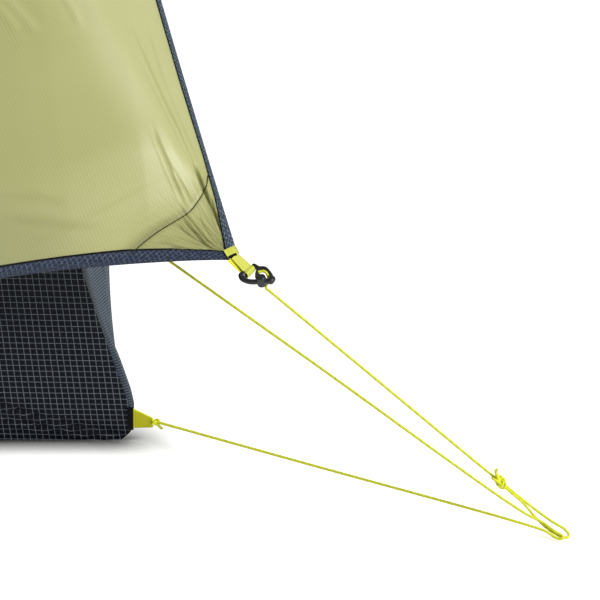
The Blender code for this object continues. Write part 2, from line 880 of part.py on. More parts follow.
inner_leg_top = inner_leg[::-1]
leg_places = inner_leg_top[:, 2]
leg_start = int(np.searchsorted(leg_places, head_wall_top[2] + 0.010))
inner_leg_up = even(np.array([head_wall_top, *inner_leg_top[leg_start:]]), 10)
inner_shoulder_grid = coons(
    wall_points[foot_run + door_run - 2 :],
    between_x(inner_ridge, door_back_high, inner_ridge[-1][0], back_run),
    line(door_low_back, door_high_back, 10),
    inner_leg_up,
)
inner_shoulder = inset(inner_shoulder_grid, seam_half, seam_sharp, seam_flat, seam_sharp)
both_sides("canopy_shoulder", lambda name, side: panel(name, side(inner_shoulder), "mesh"))
canopy_head_grid = between_legs(inner_leg_up, vec(head_edge_sag, 0, 0), end_columns)
panel(
    "canopy_head",
    inset(canopy_head_grid, seam_half, 0, seam_sharp, seam_sharp),
    "mesh",
)

# Clips that carry the inner tent under the poles
clip_ring = pole_radius + gap + 0.0020
clip_stem = 0.006
clip_width = 0.012
clip_crest = ridge_lift - 0.0026
crest_half = 0.0008
crest_turn = 15
mouth_start = 110
mouth_end = 175


def clip_outline(crest):
    # A hook round the pole with a mouth at one side, its stem below and a crest on top.
    stem_turn = math.degrees(math.asin(clip_stem / 2 / clip_ring))
    points = [(clip_stem / 2, gap - clip_drop)]
    points += arc(0, 0, clip_ring, 270 + stem_turn, 450 - crest_turn, 9)
    if crest:
        points += [(crest_half, crest), (-crest_half, crest)]
    points += arc(0, 0, clip_ring, 450 + crest_turn, 355 + mouth_start, 2)
    points += arc(0, 0, pole_radius + gap, 360 + mouth_start, mouth_end, 13)
    points += arc(0, 0, clip_ring, mouth_end, 270 - stem_turn, 6)
    points.append((-clip_stem / 2, gap - clip_drop))
    return points


def chord_place(path, along):
    # The middle of the chord nearest to a distance along a pole, and its direction.
    low = int(np.clip(np.searchsorted(path.total, along) - 1, 0, len(path.points) - 2))
    a, b = path.points[low], path.points[low + 1]
    return (a + b) / 2, unit(b - a)


def clip(name, path, along, upward, crest):
    centre, forward = chord_place(path, along)
    up = unit(upward - forward * np.dot(upward, forward))
    across = np.cross(forward, up)
    extruded(name, clip_outline(crest), centre, across, up, forward, clip_width, "black_plastic")


clip_shares = (0.45, 0.72)
for number, share in enumerate(clip_shares):
    clip(f"spine_clip_{number + 1}", spine, share * spine.length, vec(0, 0, 1), clip_crest)
both_sides(
    "leg_clip",
    lambda name, side: clip(
        name,
        near_leg if name.endswith("near") else far_leg,
        0.5 * near_leg.length,
        side(leg_out),
        None,
    ),
)

# Webbing tabs on the ground that hold the pole tips
plate_height = 0.0016
ring_radius = 0.0070
tab_half_width = 0.011


def pole_tab(name, root, foot_point, axis, reach, pad_height):
    # A webbing plate with a grommet ring, whose top stops under the tip's flange.
    outward = unit(vec(foot_point[0] - root[0], foot_point[1] - root[1], 0))
    across = np.cross(vec(0, 0, 1), outward)
    hole = foot_point - axis * ((foot_point[2] - 0.003) / axis[2])
    flange_low = foot_point[2] - tip_flange * axis[2] - pole_radius * math.sqrt(1 - axis[2] ** 2)
    outline = [
        (gap, -tab_half_width),
        (reach, -tab_half_width * 0.8),
        (reach, tab_half_width * 0.8),
        (gap, tab_half_width),
    ]
    base = vec(root[0], root[1], plate_height / 2)
    plate = extruded(name, outline, base, outward, across, vec(0, 0, 1), plate_height, "webbing")
    ring_base = vec(hole[0], hole[1], 0)
    ring_top = vec(hole[0], hole[1], flange_low - gap)
    cut(plate, rod("ring", ring_base, ring_top, ring_radius, "webbing", 20), "UNION")
    if pad_height:
        pad = vec(root[0], root[1], 0) + outward * (reach - 0.003)
        cut(plate, rod("pad", pad, pad + vec(0, 0, pad_height), 0.0028, "webbing", 12), "UNION")
    hole_radius = tip_nose_radius + 0.0010
    hole_end = ring_top + vec(0, 0, 0.002)
    cut(plate, rod("hole", ring_base - vec(0, 0, 0.002), hole_end, hole_radius, "webbing", 20))


floor_foot_middle = vec(floor_length / 2 - foot_edge_sag, 0, 0)
pole_tab("foot_pole_tab", floor_foot_middle, pole_foot, spine.direction(0), 0.036, 0)
pad_reach = np.linalg.norm((fly_head_corner - head_corner)[:2]) + 0.003
pad_top = fly_head_corner[2] - 2 * gap
both_sides(
    "head_corner_tab",
    lambda name, side: pole_tab(
        name, side(head_corner), side(leg_foot), side(leg_axis), pad_reach, pad_top
    ),
)

# Stake point of the foot corner's lines, and the webbing tab on the floor corner
stake = foot_corner + vec(stake_out, -stake_forward, cord_radius + gap)
stake_way = unit(vec(stake_out, -stake_forward, 0))
stake_side = np.cross(vec(0, 0, 1), stake_way)
up = vec(0, 0, 1)
tab_middle = tab_base_height + tab_root_height / 2
tab_outline = [
    (-tab_inset, tab_middle - tab_root_height / 2),
    (tab_end, tab_middle - tab_tip_height / 2),
    (tab_end, tab_middle + tab_tip_height / 2),
    (-tab_inset, tab_middle + tab_root_height / 2),
]
both_sides(
    "foot_corner_tab",
    lambda name, side: extruded(
        name,
        tab_outline,
        side(foot_corner),
        side(stake_way),
        up,
        side(stake_side),
        tab_thickness,
        "webbing",
    ),
)

# Corner webbing of the fly with its line lock, in the corner's own directions
pull_way = unit(stake - fly_corner)
level_way = unit(np.cross(up, pull_way))
roll = math.radians(corner_roll)
bar_way = level_way * math.cos(roll) + np.cross(pull_way, level_way) * math.sin(roll)
lift_way = np.cross(pull_way, bar_way)
bar_centre = fly_corner + pull_way * strap_length
lock_centre = bar_centre - bar_way * lock_slide

loop_radius = bar_radius + gap + strap_thickness / 2
strap_start = 0.0004


def strap_line():
    # The strap's middle line, along the pull and up from it, round the lock's bar.
    layer = strap_thickness / 2 + gap
    first = [(strap_start - strap_length, layer), (-0.0065, layer)]
    turn = arc(0, 0, loop_radius, 115, -115, 13)
    return np.array([*first, *turn, *[(x, -y) for x, y in first[::-1]]])


def strap(name, side):
    centre_line = strap_line()
    tangents = unit_rows(np.gradient(centre_line, axis=0))
    normals = np.stack([-tangents[:, 1], tangents[:, 0]], axis=1)
    outline = [*(centre_line + normals * strap_thickness / 2)]
    outline += [*(centre_line - normals * strap_thickness / 2)][::-1]
    extruded(
        name,
        outline,
        side(bar_centre),
        side(pull_way),
        side(lift_way),
        side(bar_way),
        strap_width,
        "webbing",
    )


both_sides("fly_corner_strap", strap)

tilt = math.radians(lock_tilt)
lock_way = pull_way * math.cos(tilt) + lift_way * math.sin(tilt)
lock_up = lift_way * math.cos(tilt) - pull_way * math.sin(tilt)
nose_radius = 0.0042
lock_half = lock_width / 2
arm = 0.0022
slot_half = lock_half - arm
window = [(0.0125, -0.0006), (0.0232, -0.0006), (0.0238, 0.0012), (0.0200, 0.0036), (0.0125, 0.0066)]
post_place = (0.0185, -0.0042)
post_radius = 0.0036
post_rise = 0.0034
post_drop = 0.0020


def lock_outline():
    # The plate from the arms at the webbing bar to the round nose.
    nose = arc(lock_length - nose_radius, 0, nose_radius, -68, 68, 9)
    return [
        (-bar_radius, -slot_half),
        (-bar_radius, -slot_half - arm * 0.7),
        (0.0060, -lock_half + 0.0004),
        (0.0110, -lock_half),
        (0.0160, -lock_half + 0.0008),
        *nose,
        (0.0160, lock_half - 0.0014),
        (0.0110, lock_half),
        (0.0060, lock_half - 0.0004),
        (-bar_radius, slot_half + arm * 0.7),
        (-bar_radius, slot_half),
        (0.0095, slot_half),
        (0.0095, -slot_half),
    ]


def line_lock(name, side):
    centre, way, across, upward = side(lock_centre), side(lock_way), side(bar_way), side(lock_up)
    lock = extruded(
        name, lock_outline(), centre, way, across, upward, lock_thickness, "black_plastic", centre
    )
    reach = slot_half + arm * 0.5
    bar = rod("bar", centre - across * reach, centre + across * reach, bar_radius, "pole", 20)
    cut(lock, bar, "UNION")
    post = centre + way * post_place[0] + across * post_place[1]
    post_low = post - upward * (lock_thickness / 2 + post_drop)
    post_high = post + upward * (lock_thickness / 2 + post_rise)
    cut(lock, rod("post", post_low, post_high, post_radius, "pole", 16), "UNION")
    opening = extruded("opening", window, centre, way, across, upward, 0.02, "pole")
    cut(lock, opening)


both_sides("line_lock", line_lock)


# Cords: a corner line through the lock to a knotted loop, and a line hooked round it
def place(along_stake, to_side, height):
    # A point given from the floor corner, along and beside the way to the stake.
    return foot_corner + stake_way * along_stake + stake_side * to_side + up * height


stake_reach = math.hypot(stake_out, stake_forward)
knot_back = 0.0640
lock_exit = 0.0255
loop_half = 0.0034
knot = fly_corner + pull_way * (np.linalg.norm(stake - fly_corner) - knot_back) - up * 0.0015


def in_lock(along, across, height):
    # A point given in the line lock's own directions from the middle of its bar.
    return lock_centre + lock_way * along + bar_way * across + lock_up * height


hook_around = place(stake_reach - 0.0175, -loop_half * 0.9, 0.0076)
corner_line_route = [
    in_lock(0.0140, -0.0016, 0.0036),
    in_lock(0.0168, 0.0008, 0.0036),
    in_lock(0.0192, 0.0010, 0.0022),
    in_lock(0.0198, 0.0009, -0.0030),
    fly_corner + pull_way * lock_exit - up * 0.0044,
    knot - pull_way * 0.120 - up * 0.0012,
    knot - pull_way * 0.010,
    knot + stake_side * 0.0008,
    place(stake_reach - 0.030, loop_half * 0.9, 0.0140),
    place(stake_reach - 0.005, loop_half, 0.0030),
    place(stake_reach, 0, 0.0014),
    place(stake_reach - 0.005, -loop_half, 0.0020),
    hook_around,
    place(stake_reach - 0.038, -loop_half * 0.8, 0.0185),
    knot + pull_way * 0.0060 - stake_side * 0.0022,
]


def route_points(route, most=7, least=3):
    # Points along a smooth curve through the route, closer where its bends are close.
    route = np.asarray(route, float)
    counts = [
        int(np.clip(round(np.linalg.norm(b - a) / 0.006), least, most))
        for a, b in zip(route, route[1:])
    ]
    ends = [2 * route[0] - route[1], *route, 2 * route[-1] - route[-2]]
    points = []
    for (a, b, c, d), count in zip(zip(ends, ends[1:], ends[2:], ends[3:]), counts):
        first = max(np.linalg.norm(b - a), 1e-9) ** 0.5
        middle = np.linalg.norm(c - b) ** 0.5
        last = max(np.linalg.norm(d - c), 1e-9) ** 0.5
        start = ((b - a) / first - (c - a) / (first + middle) + (c - b) / middle) * middle
        finish = ((c - b) / middle - (d - b) / (middle + last) + (d - c) / last) * middle
        for t in np.linspace(0, 1, count, endpoint=False):
            points.append(
                b * (2 * t**3 - 3 * t**2 + 1)
                + start * (t**3 - 2 * t**2 + t)
                + c * (3 * t**2 - 2 * t**3)
                + finish * (t**3 - t**2)
            )
    points.append(route[-1])
    return np.array(points)


def cord(name, route):
    curve = bpy.data.curves.new(name, "CURVE")
    curve.dimensions = "3D"
    points = route_points(route)
    spline = curve.splines.new("POLY")
    spline.points.add(len(points) - 1)
    for item, point in zip(spline.points, points):
        item.co = (*point, 1)
    curve.bevel_depth = cord_radius
    curve.bevel_resolution = 2
    curve.render_resolution_u = 0
    curve.use_fill_caps = True
    return add_object(name, curve, "cord")


hook = 0.0036
line_start = pull_out + stake_way * 0.0035 + up * 0.0006
line_end = foot_corner + stake_way * (tab_end + gap) + up * (tab_middle + 0.0014)
wall_line_route = [
    line_start,
    line_start + (hook_around - line_start) * 0.5,
    hook_around - stake_way * 0.016 - stake_side * 0.0046 + up * 0.0085,
    hook_around - stake_side * 0.0014 - stake_way * 0.0010 + up * hook,
    hook_around + stake_side * (hook + 0.0001) - stake_way * 0.0004,
    hook_around - stake_side * 0.0010 + stake_way * 0.0004 - up * hook,
    hook_around - stake_way * 0.014 - stake_side * 0.0052 - up * 0.0006,
    line_end + (hook_around - line_end) * 0.4 - up * 0.0012,
    line_end,
]
both_sides("corner_line", lambda name, side: cord(name, side(corner_line_route)))
both_sides("wall_line", lambda name, side: cord(name, side(wall_line_route)))

# Zip sliders, each on the fixed side of its zip
slider_length = 0.013
slider_width = 0.007
slider_height = 0.0034


def slider(name, side, low, high, strip, seat, pull_length):
    # The body lies along the zip beside the door's edge, with a pull tab hung from it.
    way = unit(high - low)
    beside = unit(strip - way * np.dot(strip, way))
    outward = np.cross(way, beside)
    if np.dot(outward, vec(0, -1, 0.5)) < 0:
        outward = -outward
    base = low + way * seat + beside * (slider_width / 2 + 0.0008) + outward * gap
    half = slider_width / 2
    outline = [
        (-slider_length / 2, -half * 0.6),
        (slider_length / 2, -half),
        (slider_length / 2, half),
        (-slider_length / 2, half * 0.6),
    ]
    body = extruded(
        name,
        outline,
        side(base + outward * slider_height / 2),
        side(way),
        side(beside),
        side(outward),
        slider_height,
        "black_plastic",
        side(base),
    )
    tab = [
        (slider_length / 2 - 0.003, -0.0022),
        (-pull_length, -0.0030),
        (-pull_length, 0.0030),
        (slider_length / 2 - 0.003, 0.0022),
    ]
    tab_base = side(base + outward * (slider_height + 0.0003))
    pull = extruded(
        "pull", tab, tab_base, side(way), side(beside), side(outward), 0.0012, "pole"
    )
    cut(body, pull, "UNION")


fly_slider_seat = 0.070
both_sides(
    "fly_zip_slider",
    lambda name, side: slider(
        name, side, vestibule_point, zip_point, strip_shift, fly_slider_seat, 0.030
    ),
)
inner_slider_seat = 0.050
both_sides(
    "inner_zip_slider",
    lambda name, side: slider(
        name, side, door_low_front, door_high_front, wall_way, inner_slider_seat, 0.024
    ),
)
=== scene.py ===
import math
from functools import partial

import bpy
import numpy as np
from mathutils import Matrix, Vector


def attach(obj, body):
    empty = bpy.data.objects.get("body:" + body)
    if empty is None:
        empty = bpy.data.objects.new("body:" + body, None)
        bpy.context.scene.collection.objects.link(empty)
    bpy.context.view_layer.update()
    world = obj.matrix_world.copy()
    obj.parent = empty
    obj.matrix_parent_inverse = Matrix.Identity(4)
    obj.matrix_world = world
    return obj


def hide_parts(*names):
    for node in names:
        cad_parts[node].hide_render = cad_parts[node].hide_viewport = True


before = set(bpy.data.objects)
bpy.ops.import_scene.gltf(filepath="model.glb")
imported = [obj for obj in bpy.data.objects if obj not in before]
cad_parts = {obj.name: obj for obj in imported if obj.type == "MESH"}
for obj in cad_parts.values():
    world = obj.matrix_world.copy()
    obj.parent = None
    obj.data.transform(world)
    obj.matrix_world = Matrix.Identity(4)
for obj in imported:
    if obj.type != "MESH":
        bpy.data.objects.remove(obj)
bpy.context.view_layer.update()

# The camera stands 10 m away with a long lens, 24 degrees above the near foot corner.
view = {
    "lens": 828,
    "sensor": 36,
    "farClip": 100,
    "place": (1.66096, -9.61642, 4.16005),
    "turn": (66, 0, 2.9),
}
cameraData = bpy.data.cameras.new("camera")
cameraData.lens = view["lens"]
cameraData.sensor_width = view["sensor"]
cameraData.clip_end = view["farClip"]
camera = bpy.data.objects.new("camera", cameraData)
camera.location = view["place"]
camera.rotation_euler = [math.radians(turn) for turn in view["turn"]]
bpy.context.scene.collection.objects.link(camera)
bpy.context.scene.camera = camera


# Small tools for points
def vec(x, y, z):
    return np.array([x, y, z], float)


def unit(v):
    return v / np.linalg.norm(v)


def unitRows(v):
    return v / np.maximum(np.linalg.norm(v, axis=-1, keepdims=True), 1e-12)


def mirrored(points):
    return np.asarray(points) * np.array([1.0, -1.0, 1.0])


def same(points):
    return np.asarray(points)


def line(start, end, count):
    return np.array([start + (end - start) * t for t in np.linspace(0, 1, count)])


def sagged(start, end, count, sag):
    steps = np.linspace(0, 1, count)
    return np.array([start + (end - start) * t + sag * 4 * t * (1 - t) for t in steps])


def bezier(a, b, c, d, count):
    t = np.linspace(0, 1, count)[:, None]
    return a * (1 - t) ** 3 + 3 * b * t * (1 - t) ** 2 + 3 * c * t * t * (1 - t) + d * t**3


def lengths(points):
    steps = np.linalg.norm(np.diff(points, axis=0), axis=1)
    return np.concatenate([[0], np.cumsum(steps)])


def atLength(points, along):
    along = np.atleast_1d(along)
    total = lengths(points)
    return np.stack([np.interp(along, total, points[:, k]) for k in range(3)], axis=1)


def readAt(points, shares):
    return atLength(points, shares * lengths(points)[-1])


def even(points, count):
    return readAt(points, np.linspace(0, 1, count))


def whereX(points, x):
    # The point of a line whose x falls all the way, at the given x.
    share = np.interp(-x, -points[:, 0], np.arange(len(points)))
    low = min(int(share), len(points) - 2)
    return points[low] + (points[low + 1] - points[low]) * (share - low)


def betweenX(points, startX, endX, count):
    inner = [p for p in points if endX < p[0] < startX]
    return even(np.array([whereX(points, startX), *inner, whereX(points, endX)]), count)


def coons(bottom, top, left, right, u=None, v=None):
    # A surface between four edge curves; rows run from bottom to top.
    u = (np.linspace(0, 1, len(bottom)) if u is None else u)[None, :, None]
    v = (np.linspace(0, 1, len(left)) if v is None else v)[:, None, None]
    low = (1 - u) * bottom[0] + u * bottom[-1]
    high = (1 - u) * top[0] + u * top[-1]
    corners = (1 - v) * low + v * high
    ruled = (1 - v) * bottom[None] + v * top[None] + (1 - u) * left[:, None] + u * right[:, None]
    return ruled - corners


def gridNormals(grid):
    normals = unitRows(np.cross(np.gradient(grid, axis=1), np.gradient(grid, axis=0)))
    middle = grid.reshape(-1, 3).mean(axis=0)
    outward = middle - np.array([middle[0] * 0.6, 0, 0.25])
    return -normals if np.sum(normals.mean(axis=(0, 1)) * outward) < 0 else normals


def dished(grid, depth):
    # A stretched panel draws in a little between its edges.
    u = lengths(grid[grid.shape[0] // 2])
    v = lengths(grid[:, grid.shape[1] // 2])
    shareU = (u / u[-1])[None, :, None]
    shareV = (v / v[-1])[:, None, None]
    return grid - gridNormals(grid) * depth * 16 * shareU * (1 - shareU) * shareV * (1 - shareV)


def smooth(low, high, x):
    t = np.clip((x - low) / (high - low), 0, 1)
    return t * t * (3 - 2 * t)


def bell(x, width):
    return np.exp(-((x / width) ** 2))


def window(x, low, high, fade, gone):
    # Rises from low to high and falls from fade to gone
    return smooth(low, high, x) * (1 - smooth(fade, gone, x))


def gridUv(down, across):
    # UV from a value for each row and one for each column
    return np.stack(np.broadcast_arrays(down, across), axis=-1)


def routePoints(route, step=0.0015):
    # Points along a smooth curve through the route, as part.py draws the cords.
    route = np.asarray(route, float)
    ends = [2 * route[0] - route[1], *route, 2 * route[-1] - route[-2]]
    points = []
    for a, b, c, d in zip(ends, ends[1:], ends[2:], ends[3:]):
        count = int(np.clip(round(np.linalg.norm(c - b) / step), 4, 60))
        first = max(np.linalg.norm(b - a), 1e-9) ** 0.5
        middle = np.linalg.norm(c - b) ** 0.5
        last = max(np.linalg.norm(d - c), 1e-9) ** 0.5
        start = ((b - a) / first - (c - a) / (first + middle) + (c - b) / middle) * middle
        finish = ((c - b) / middle - (d - b) / (middle + last) + (d - c) / last) * middle
        for t in np.linspace(0, 1, count, endpoint=False):
            points.append(
                b * (2 * t**3 - 3 * t**2 + 1)
                + start * (t**3 - 2 * t**2 + t)
                + c * (3 * t**2 - 2 * t**3)
                + finish * (t**3 - t**2)
            )
    points.append(route[-1])
    return np.array(points)


# Lines that the pieces share, on the near side, in metres and degrees as in part.py
tent = {
    "halfLength": 1.080,
    "footHalfWidth": 0.540,
    "widening": 0.110,
    "footPoleSlope": 79,
    "elbowHeight": 0.635,
    "pointSpacing": 0.070,
    "ridgeLift": 0.012,
    "legLift": 0.030,
    "innerDrop": 0.034,
    "vestibule": (0.080, 0.570, 0.040),
    "doorFront": -0.200,
    "doorHinge": -0.300,
    "hingeShare": 0.420,
    "stakeOut": (0.3204, -0.1540),
    "lockRoll": 20.5,
    "lockTilt": 33,
}
up = vec(0, 0, 1)
footCorner = vec(tent["halfLength"], -tent["footHalfWidth"], 0)
headCorner = vec(-tent["halfLength"], -tent["footHalfWidth"] - tent["widening"], 0)
pullOut = footCorner + vec(-0.0560, 0.012, 0.1965)
headWallTop = headCorner + vec(0.030, 0.030, 0.200)
poleFoot = vec(1.055, 0, 0.0113)
elbowBack = -tent["elbowHeight"] / math.tan(math.radians(tent["footPoleSlope"]))
elbow = poleFoot + vec(elbowBack, 0, tent["elbowHeight"])
hubPoint = vec(-0.620, 0, 0.980)
peak = vec(-0.280, 0, 1.000)
archHigh = peak[2] - elbow[2]
archTurns = np.radians(np.linspace(4, 90, 32))
arch = [
    vec(peak[0] + (elbow[0] - peak[0]) * math.cos(a), 0, elbow[2] + archHigh * math.sin(a))
    for a in archTurns
]
backStart = arch[-1] + vec(-0.136, 0, 0)
backSlope = bezier(arch[-1], backStart, hubPoint + vec(0.102, 0, 0.010), hubPoint, 8)
legFoot = headCorner + vec(-0.015, -0.015, 0.0113)
legPlan = legFoot - hubPoint
legOut = unit(vec(legPlan[0], legPlan[1], 0))
legReach = math.hypot(legPlan[0], legPlan[1])
legRoute = bezier(
    hubPoint,
    hubPoint + legOut * legReach * 0.50 + vec(0, 0, -0.060),
    legFoot - legOut * legReach * 0.085 + vec(0, 0, 0.450),
    legFoot,
    60,
)


def spaced(route):
    # The pole's line with evenly spaced points
    return even(route, max(2, round(lengths(route)[-1] / tent["pointSpacing"])) + 1)


spine = spaced(np.array([*line(poleFoot, elbow, 12), *arch, *backSlope[1:]]))
leg = spaced(legRoute)


def besideSpine(lift):
    tangents = unitRows(np.gradient(spine, axis=0))
    return spine + lift * np.stack([tangents[:, 2], 0 * tangents[:, 0], -tangents[:, 0]], axis=1)


def besideLeg(lift):
    tangents = unitRows(np.gradient(leg, axis=0))
    sides = [unit(up * np.dot(t, legOut) - legOut * t[2]) for t in tangents]
    return leg + np.array(sides) * np.reshape(lift, (-1, 1))


flyRidge = besideSpine(tent["ridgeLift"])
innerRidge = besideSpine(-tent["innerDrop"])
legShares = lengths(leg) / lengths(leg)[-1]
flyLeg = besideLeg(tent["ridgeLift"] + tent["legLift"] * legShares**2)
innerLeg = besideLeg(-tent["innerDrop"] * np.ones(len(legShares)))
flyLeg[0] = flyRidge[-1]
innerLeg[0] = innerRidge[-1]
flyTop = whereX(flyRidge, elbow[0] + tent["ridgeLift"])
flyCorner = footCorner + vec(0.0803, -0.0516, 0.1672)
vestibuleX, vestibuleOut, vestibuleHeight = tent["vestibule"]
widened = tent["widening"] * (tent["halfLength"] - vestibuleX) / (2 * tent["halfLength"])
vestibuleEdge = tent["footHalfWidth"] + widened
vestibulePoint = vec(vestibuleX, -vestibuleEdge - vestibuleOut, vestibuleHeight)
zipPoint = whereX(flyRidge, tent["doorFront"])
hingePoint = whereX(flyRidge, tent["doorHinge"])
flyHeadCorner = flyLeg[-1]
hingeFoot = vestibulePoint + (flyHeadCorner - vestibulePoint) * tent["hingeShare"]
stripShift = vec(0.025, 0, 0)  # from the zip to where the side panel's strip starts
edgeRun = unit(headCorner - footCorner)
hemEnd = vestibulePoint + stripShift
hemBend = hemEnd + (flyCorner - hemEnd) * vec(0.30, 0.22, 0.40)
hemLine = bezier(flyCorner, flyCorner + edgeRun * 0.42, hemBend, hemEnd, 300)
footEdgeLine = sagged(flyCorner, flyTop, 300, vec(-0.008, 0, 0.0032))
ridgeEnd = zipPoint + stripShift
sideRidge = betweenX(flyRidge, flyTop[0], ridgeEnd[0], 60)
sideRidge[-1] = ridgeEnd
stakeAcross, stakeBeside = tent["stakeOut"]
stake = footCorner + vec(stakeAcross, stakeBeside, 0.0013)
stakeReach = math.hypot(stakeAcross, stakeBeside)
stakeWay = unit(vec(stakeAcross, stakeBeside, 0))
stakeSide = np.cross(up, stakeWay)
pullWay = unit(stake - flyCorner)
levelWay = unit(np.cross(up, pullWay))
roll = math.radians(tent["lockRoll"])
barWay = levelWay * math.cos(roll) + np.cross(pullWay, levelWay) * math.sin(roll)
liftWay = np.cross(pullWay, barWay)
lockCentre = flyCorner + pullWay * 0.0079 - barWay * 0.0032
tilt = math.radians(tent["lockTilt"])
lockWay = pullWay * math.cos(tilt) + liftWay * math.sin(tilt)
lockUp = liftWay * math.cos(tilt) - pullWay * math.sin(tilt)


def atStake(back, aside, height):
    # A place so far back from the stake, to its side and above the ground
    return footCorner + stakeWay * (stakeReach - back) + stakeSide * aside + up * height


def inLock(along, across, height):
    return lockCentre + lockWay * along + barWay * across + lockUp * height


# Materials
def colour(text):
    # An sRGB hex colour as the linear one that shaders take
    parts = [int(text[i : i + 2], 16) / 255 for i in (1, 3, 5)]
    return (*[c / 12.92 if c <= 0.04045 else ((c + 0.055) / 1.055) ** 2.4 for c in parts], 1)


def setInputs(node, inputs):
    # Puts numbers, hex colours or other nodes' outputs into a node's sockets.
    for socket, value in inputs.items() if isinstance(inputs, dict) else enumerate(inputs):
        if isinstance(value, bpy.types.NodeSocket):
            node.id_data.links.new(value, node.inputs[socket])
        else:
            node.inputs[socket].default_value = colour(value) if isinstance(value, str) else value


def addNode(tree, kind, inputs=(), take=0, **settings):
    # A node with its settings and inputs; gives back the output that take names.
    node = tree.nodes.new("ShaderNode" + kind)
    for key, value in settings.items():
        setattr(node, key, value)
    setInputs(node, inputs)
    return node.outputs[take]


def newMaterial(name, **inputs):
    material = bpy.data.materials.new(name)
    material.use_nodes = True
    shader = material.node_tree.nodes["Principled BSDF"]
    setInputs(shader, {socket.replace("_", " "): value for socket, value in inputs.items()})
    return material, partial(addNode, material.node_tree), shader


def setSurface(material, shader):
    setInputs(material.node_tree.nodes["Material Output"], {"Surface": shader})


blend = {"take": "Result", "data_type": "RGBA"}
noThreads = 10.0  # a pitch in metres past any panel's size, which leaves out one way of a grid
# Black of seams, and the black that painted shade goes toward
seamAndShadeBlack = "#05060A"


def gridLines(add, where, width, height, lineWidth, turn=0.0):
    # White where a thread grid of that pitch runs, in metres of cloth
    turned = add("Mapping", {"Vector": where, "Rotation": (0, 0, math.radians(turn))})
    bricks = {
        "Vector": turned,
        "Color1": (0, 0, 0, 1),
        "Color2": (0, 0, 0, 1),
        "Mortar": (1, 1, 1, 1),
        "Scale": 1.0,
        "Mortar Size": lineWidth,
        "Mortar Smooth": 0.4,
        "Brick Width": width,
        "Row Height": height,
    }
    return add("TexBrick", bricks, offset=0.0, squash=1.0)


# Coated ripstop nylon of the fly: slanting rows of thicker threads and a soft gloss that spreads
# the light; it gives the eye the pale olive of the tent. The rows are 2.5 mm apart, coarser than
# the real 1.8 mm, so that they show. Fine wrinkles run out of the corner where the UV starts, with
# painted shade in them; a point attribute adds painted shade in folds and a painted highlight.
flyLook = {
    "clouds": ("#B2B372", "#BFC080"),
    # Painted shade in folds and wrinkles, and a painted highlight on taut cloth:
    "paintedHighlight": "#DADBA8",
    "folded": "#6E6E3A",
    "thread": "#EDEEBE",
    "pitch": 0.0025,
    "slant": -21.4,
    "wrinkledTo": 0.080,
    "roughness": 0.40,
    "letThrough": 0.20,
}


def flyCloth(look):
    material, add, shader = newMaterial("coated_ripstop_nylon", Roughness=look["roughness"])
    where = add("UVMap")
    threads = gridLines(add, where, look["pitch"], noThreads, 0.00045, look["slant"])
    crossing = gridLines(add, where, noThreads, look["pitch"], 0.00025, look["slant"])
    clouds = {"Vector": where, "Scale": 9.0, "Detail": 3.0, "Roughness": 0.5}
    cloud = add("TexNoise", clouds, "Fac")
    dull, bright = look["clouds"]
    base = add("Mix", {"Factor": cloud, "A": dull, "B": bright}, **blend)
    # Wrinkles, as a noise drawn out along the way from the corner
    parts = add("SeparateXYZ", [where]).node.outputs
    turn = add("Math", [parts["Y"], parts["X"]], operation="ARCTAN2")
    reach = add("VectorMath", [where], "Value", operation="LENGTH")
    polar = add("CombineXYZ", {"X": turn, "Y": reach})
    stretched = add("Mapping", {"Vector": polar, "Scale": (1.0, 0.45, 1.0)})
    noise = {"Vector": stretched, "Scale": 26.0, "Detail": 2.0, "Roughness": 0.6}
    streaks = add("TexNoise", noise, "Fac")
    near = {"Value": reach, "From Min": look["wrinkledTo"], "From Max": 0.020}
    nearCorner = add("MapRange", near)
    wrinkles = add("Math", [streaks, nearCorner], operation="MULTIPLY")
    # Painted shade in the deeper wrinkles near the corner
    deep = {"Value": streaks, "From Min": 0.50, "From Max": 0.68, "To Max": 0.34}
    folds = add("MapRange", deep)
    wrinkleShade = add("Math", [folds, nearCorner], operation="MULTIPLY")
    # Above nought the attribute is painted shade, in folds and over the patch; below it, a painted
    # highlight on the taut crest.
    paintedShading = add("Attribute", take="Fac", attribute_name="paintedShading")
    darker = add("Math", [wrinkleShade, paintedShading], operation="ADD", use_clamp=True)
    highlightShare = add("Math", [paintedShading, -1.0], operation="MULTIPLY", use_clamp=True)
    pale = add("Mix", {"Factor": highlightShare, "A": base, "B": look["paintedHighlight"]}, **blend)
    creased = add("Mix", {"Factor": darker, "A": pale, "B": look["folded"]}, **blend)
    patchy = add("TexNoise", {"Vector": where, "Scale": 14.0, "Detail": 2.0}, "Fac")
    strong = {"Value": patchy, "From Min": 0.35, "From Max": 0.65, "To Min": 0.02, "To Max": 0.10}
    seen = add("MapRange", strong)
    dim = add("Math", [threads, seen], operation="MULTIPLY")
    threaded = add("Mix", {"Factor": dim, "A": creased, "B": look["thread"]}, **blend)
    weave = add("Math", [crossing, 0.4, threads], operation="MULTIPLY_ADD")
    bump = add("Bump", {"Height": weave, "Strength": 0.18, "Distance": 0.0001})
    wrinkled = {"Height": wrinkles, "Strength": 1.0, "Distance": 0.0022, "Normal": bump}
    setInputs(shader, {"Base Color": threaded, "Normal": add("Bump", wrinkled)})
    through = add("BsdfTranslucent", {"Color": threaded})
    shaders = [look["letThrough"], shader.outputs["BSDF"], through]
    setSurface(material, add("MixShader", shaders))
    return material


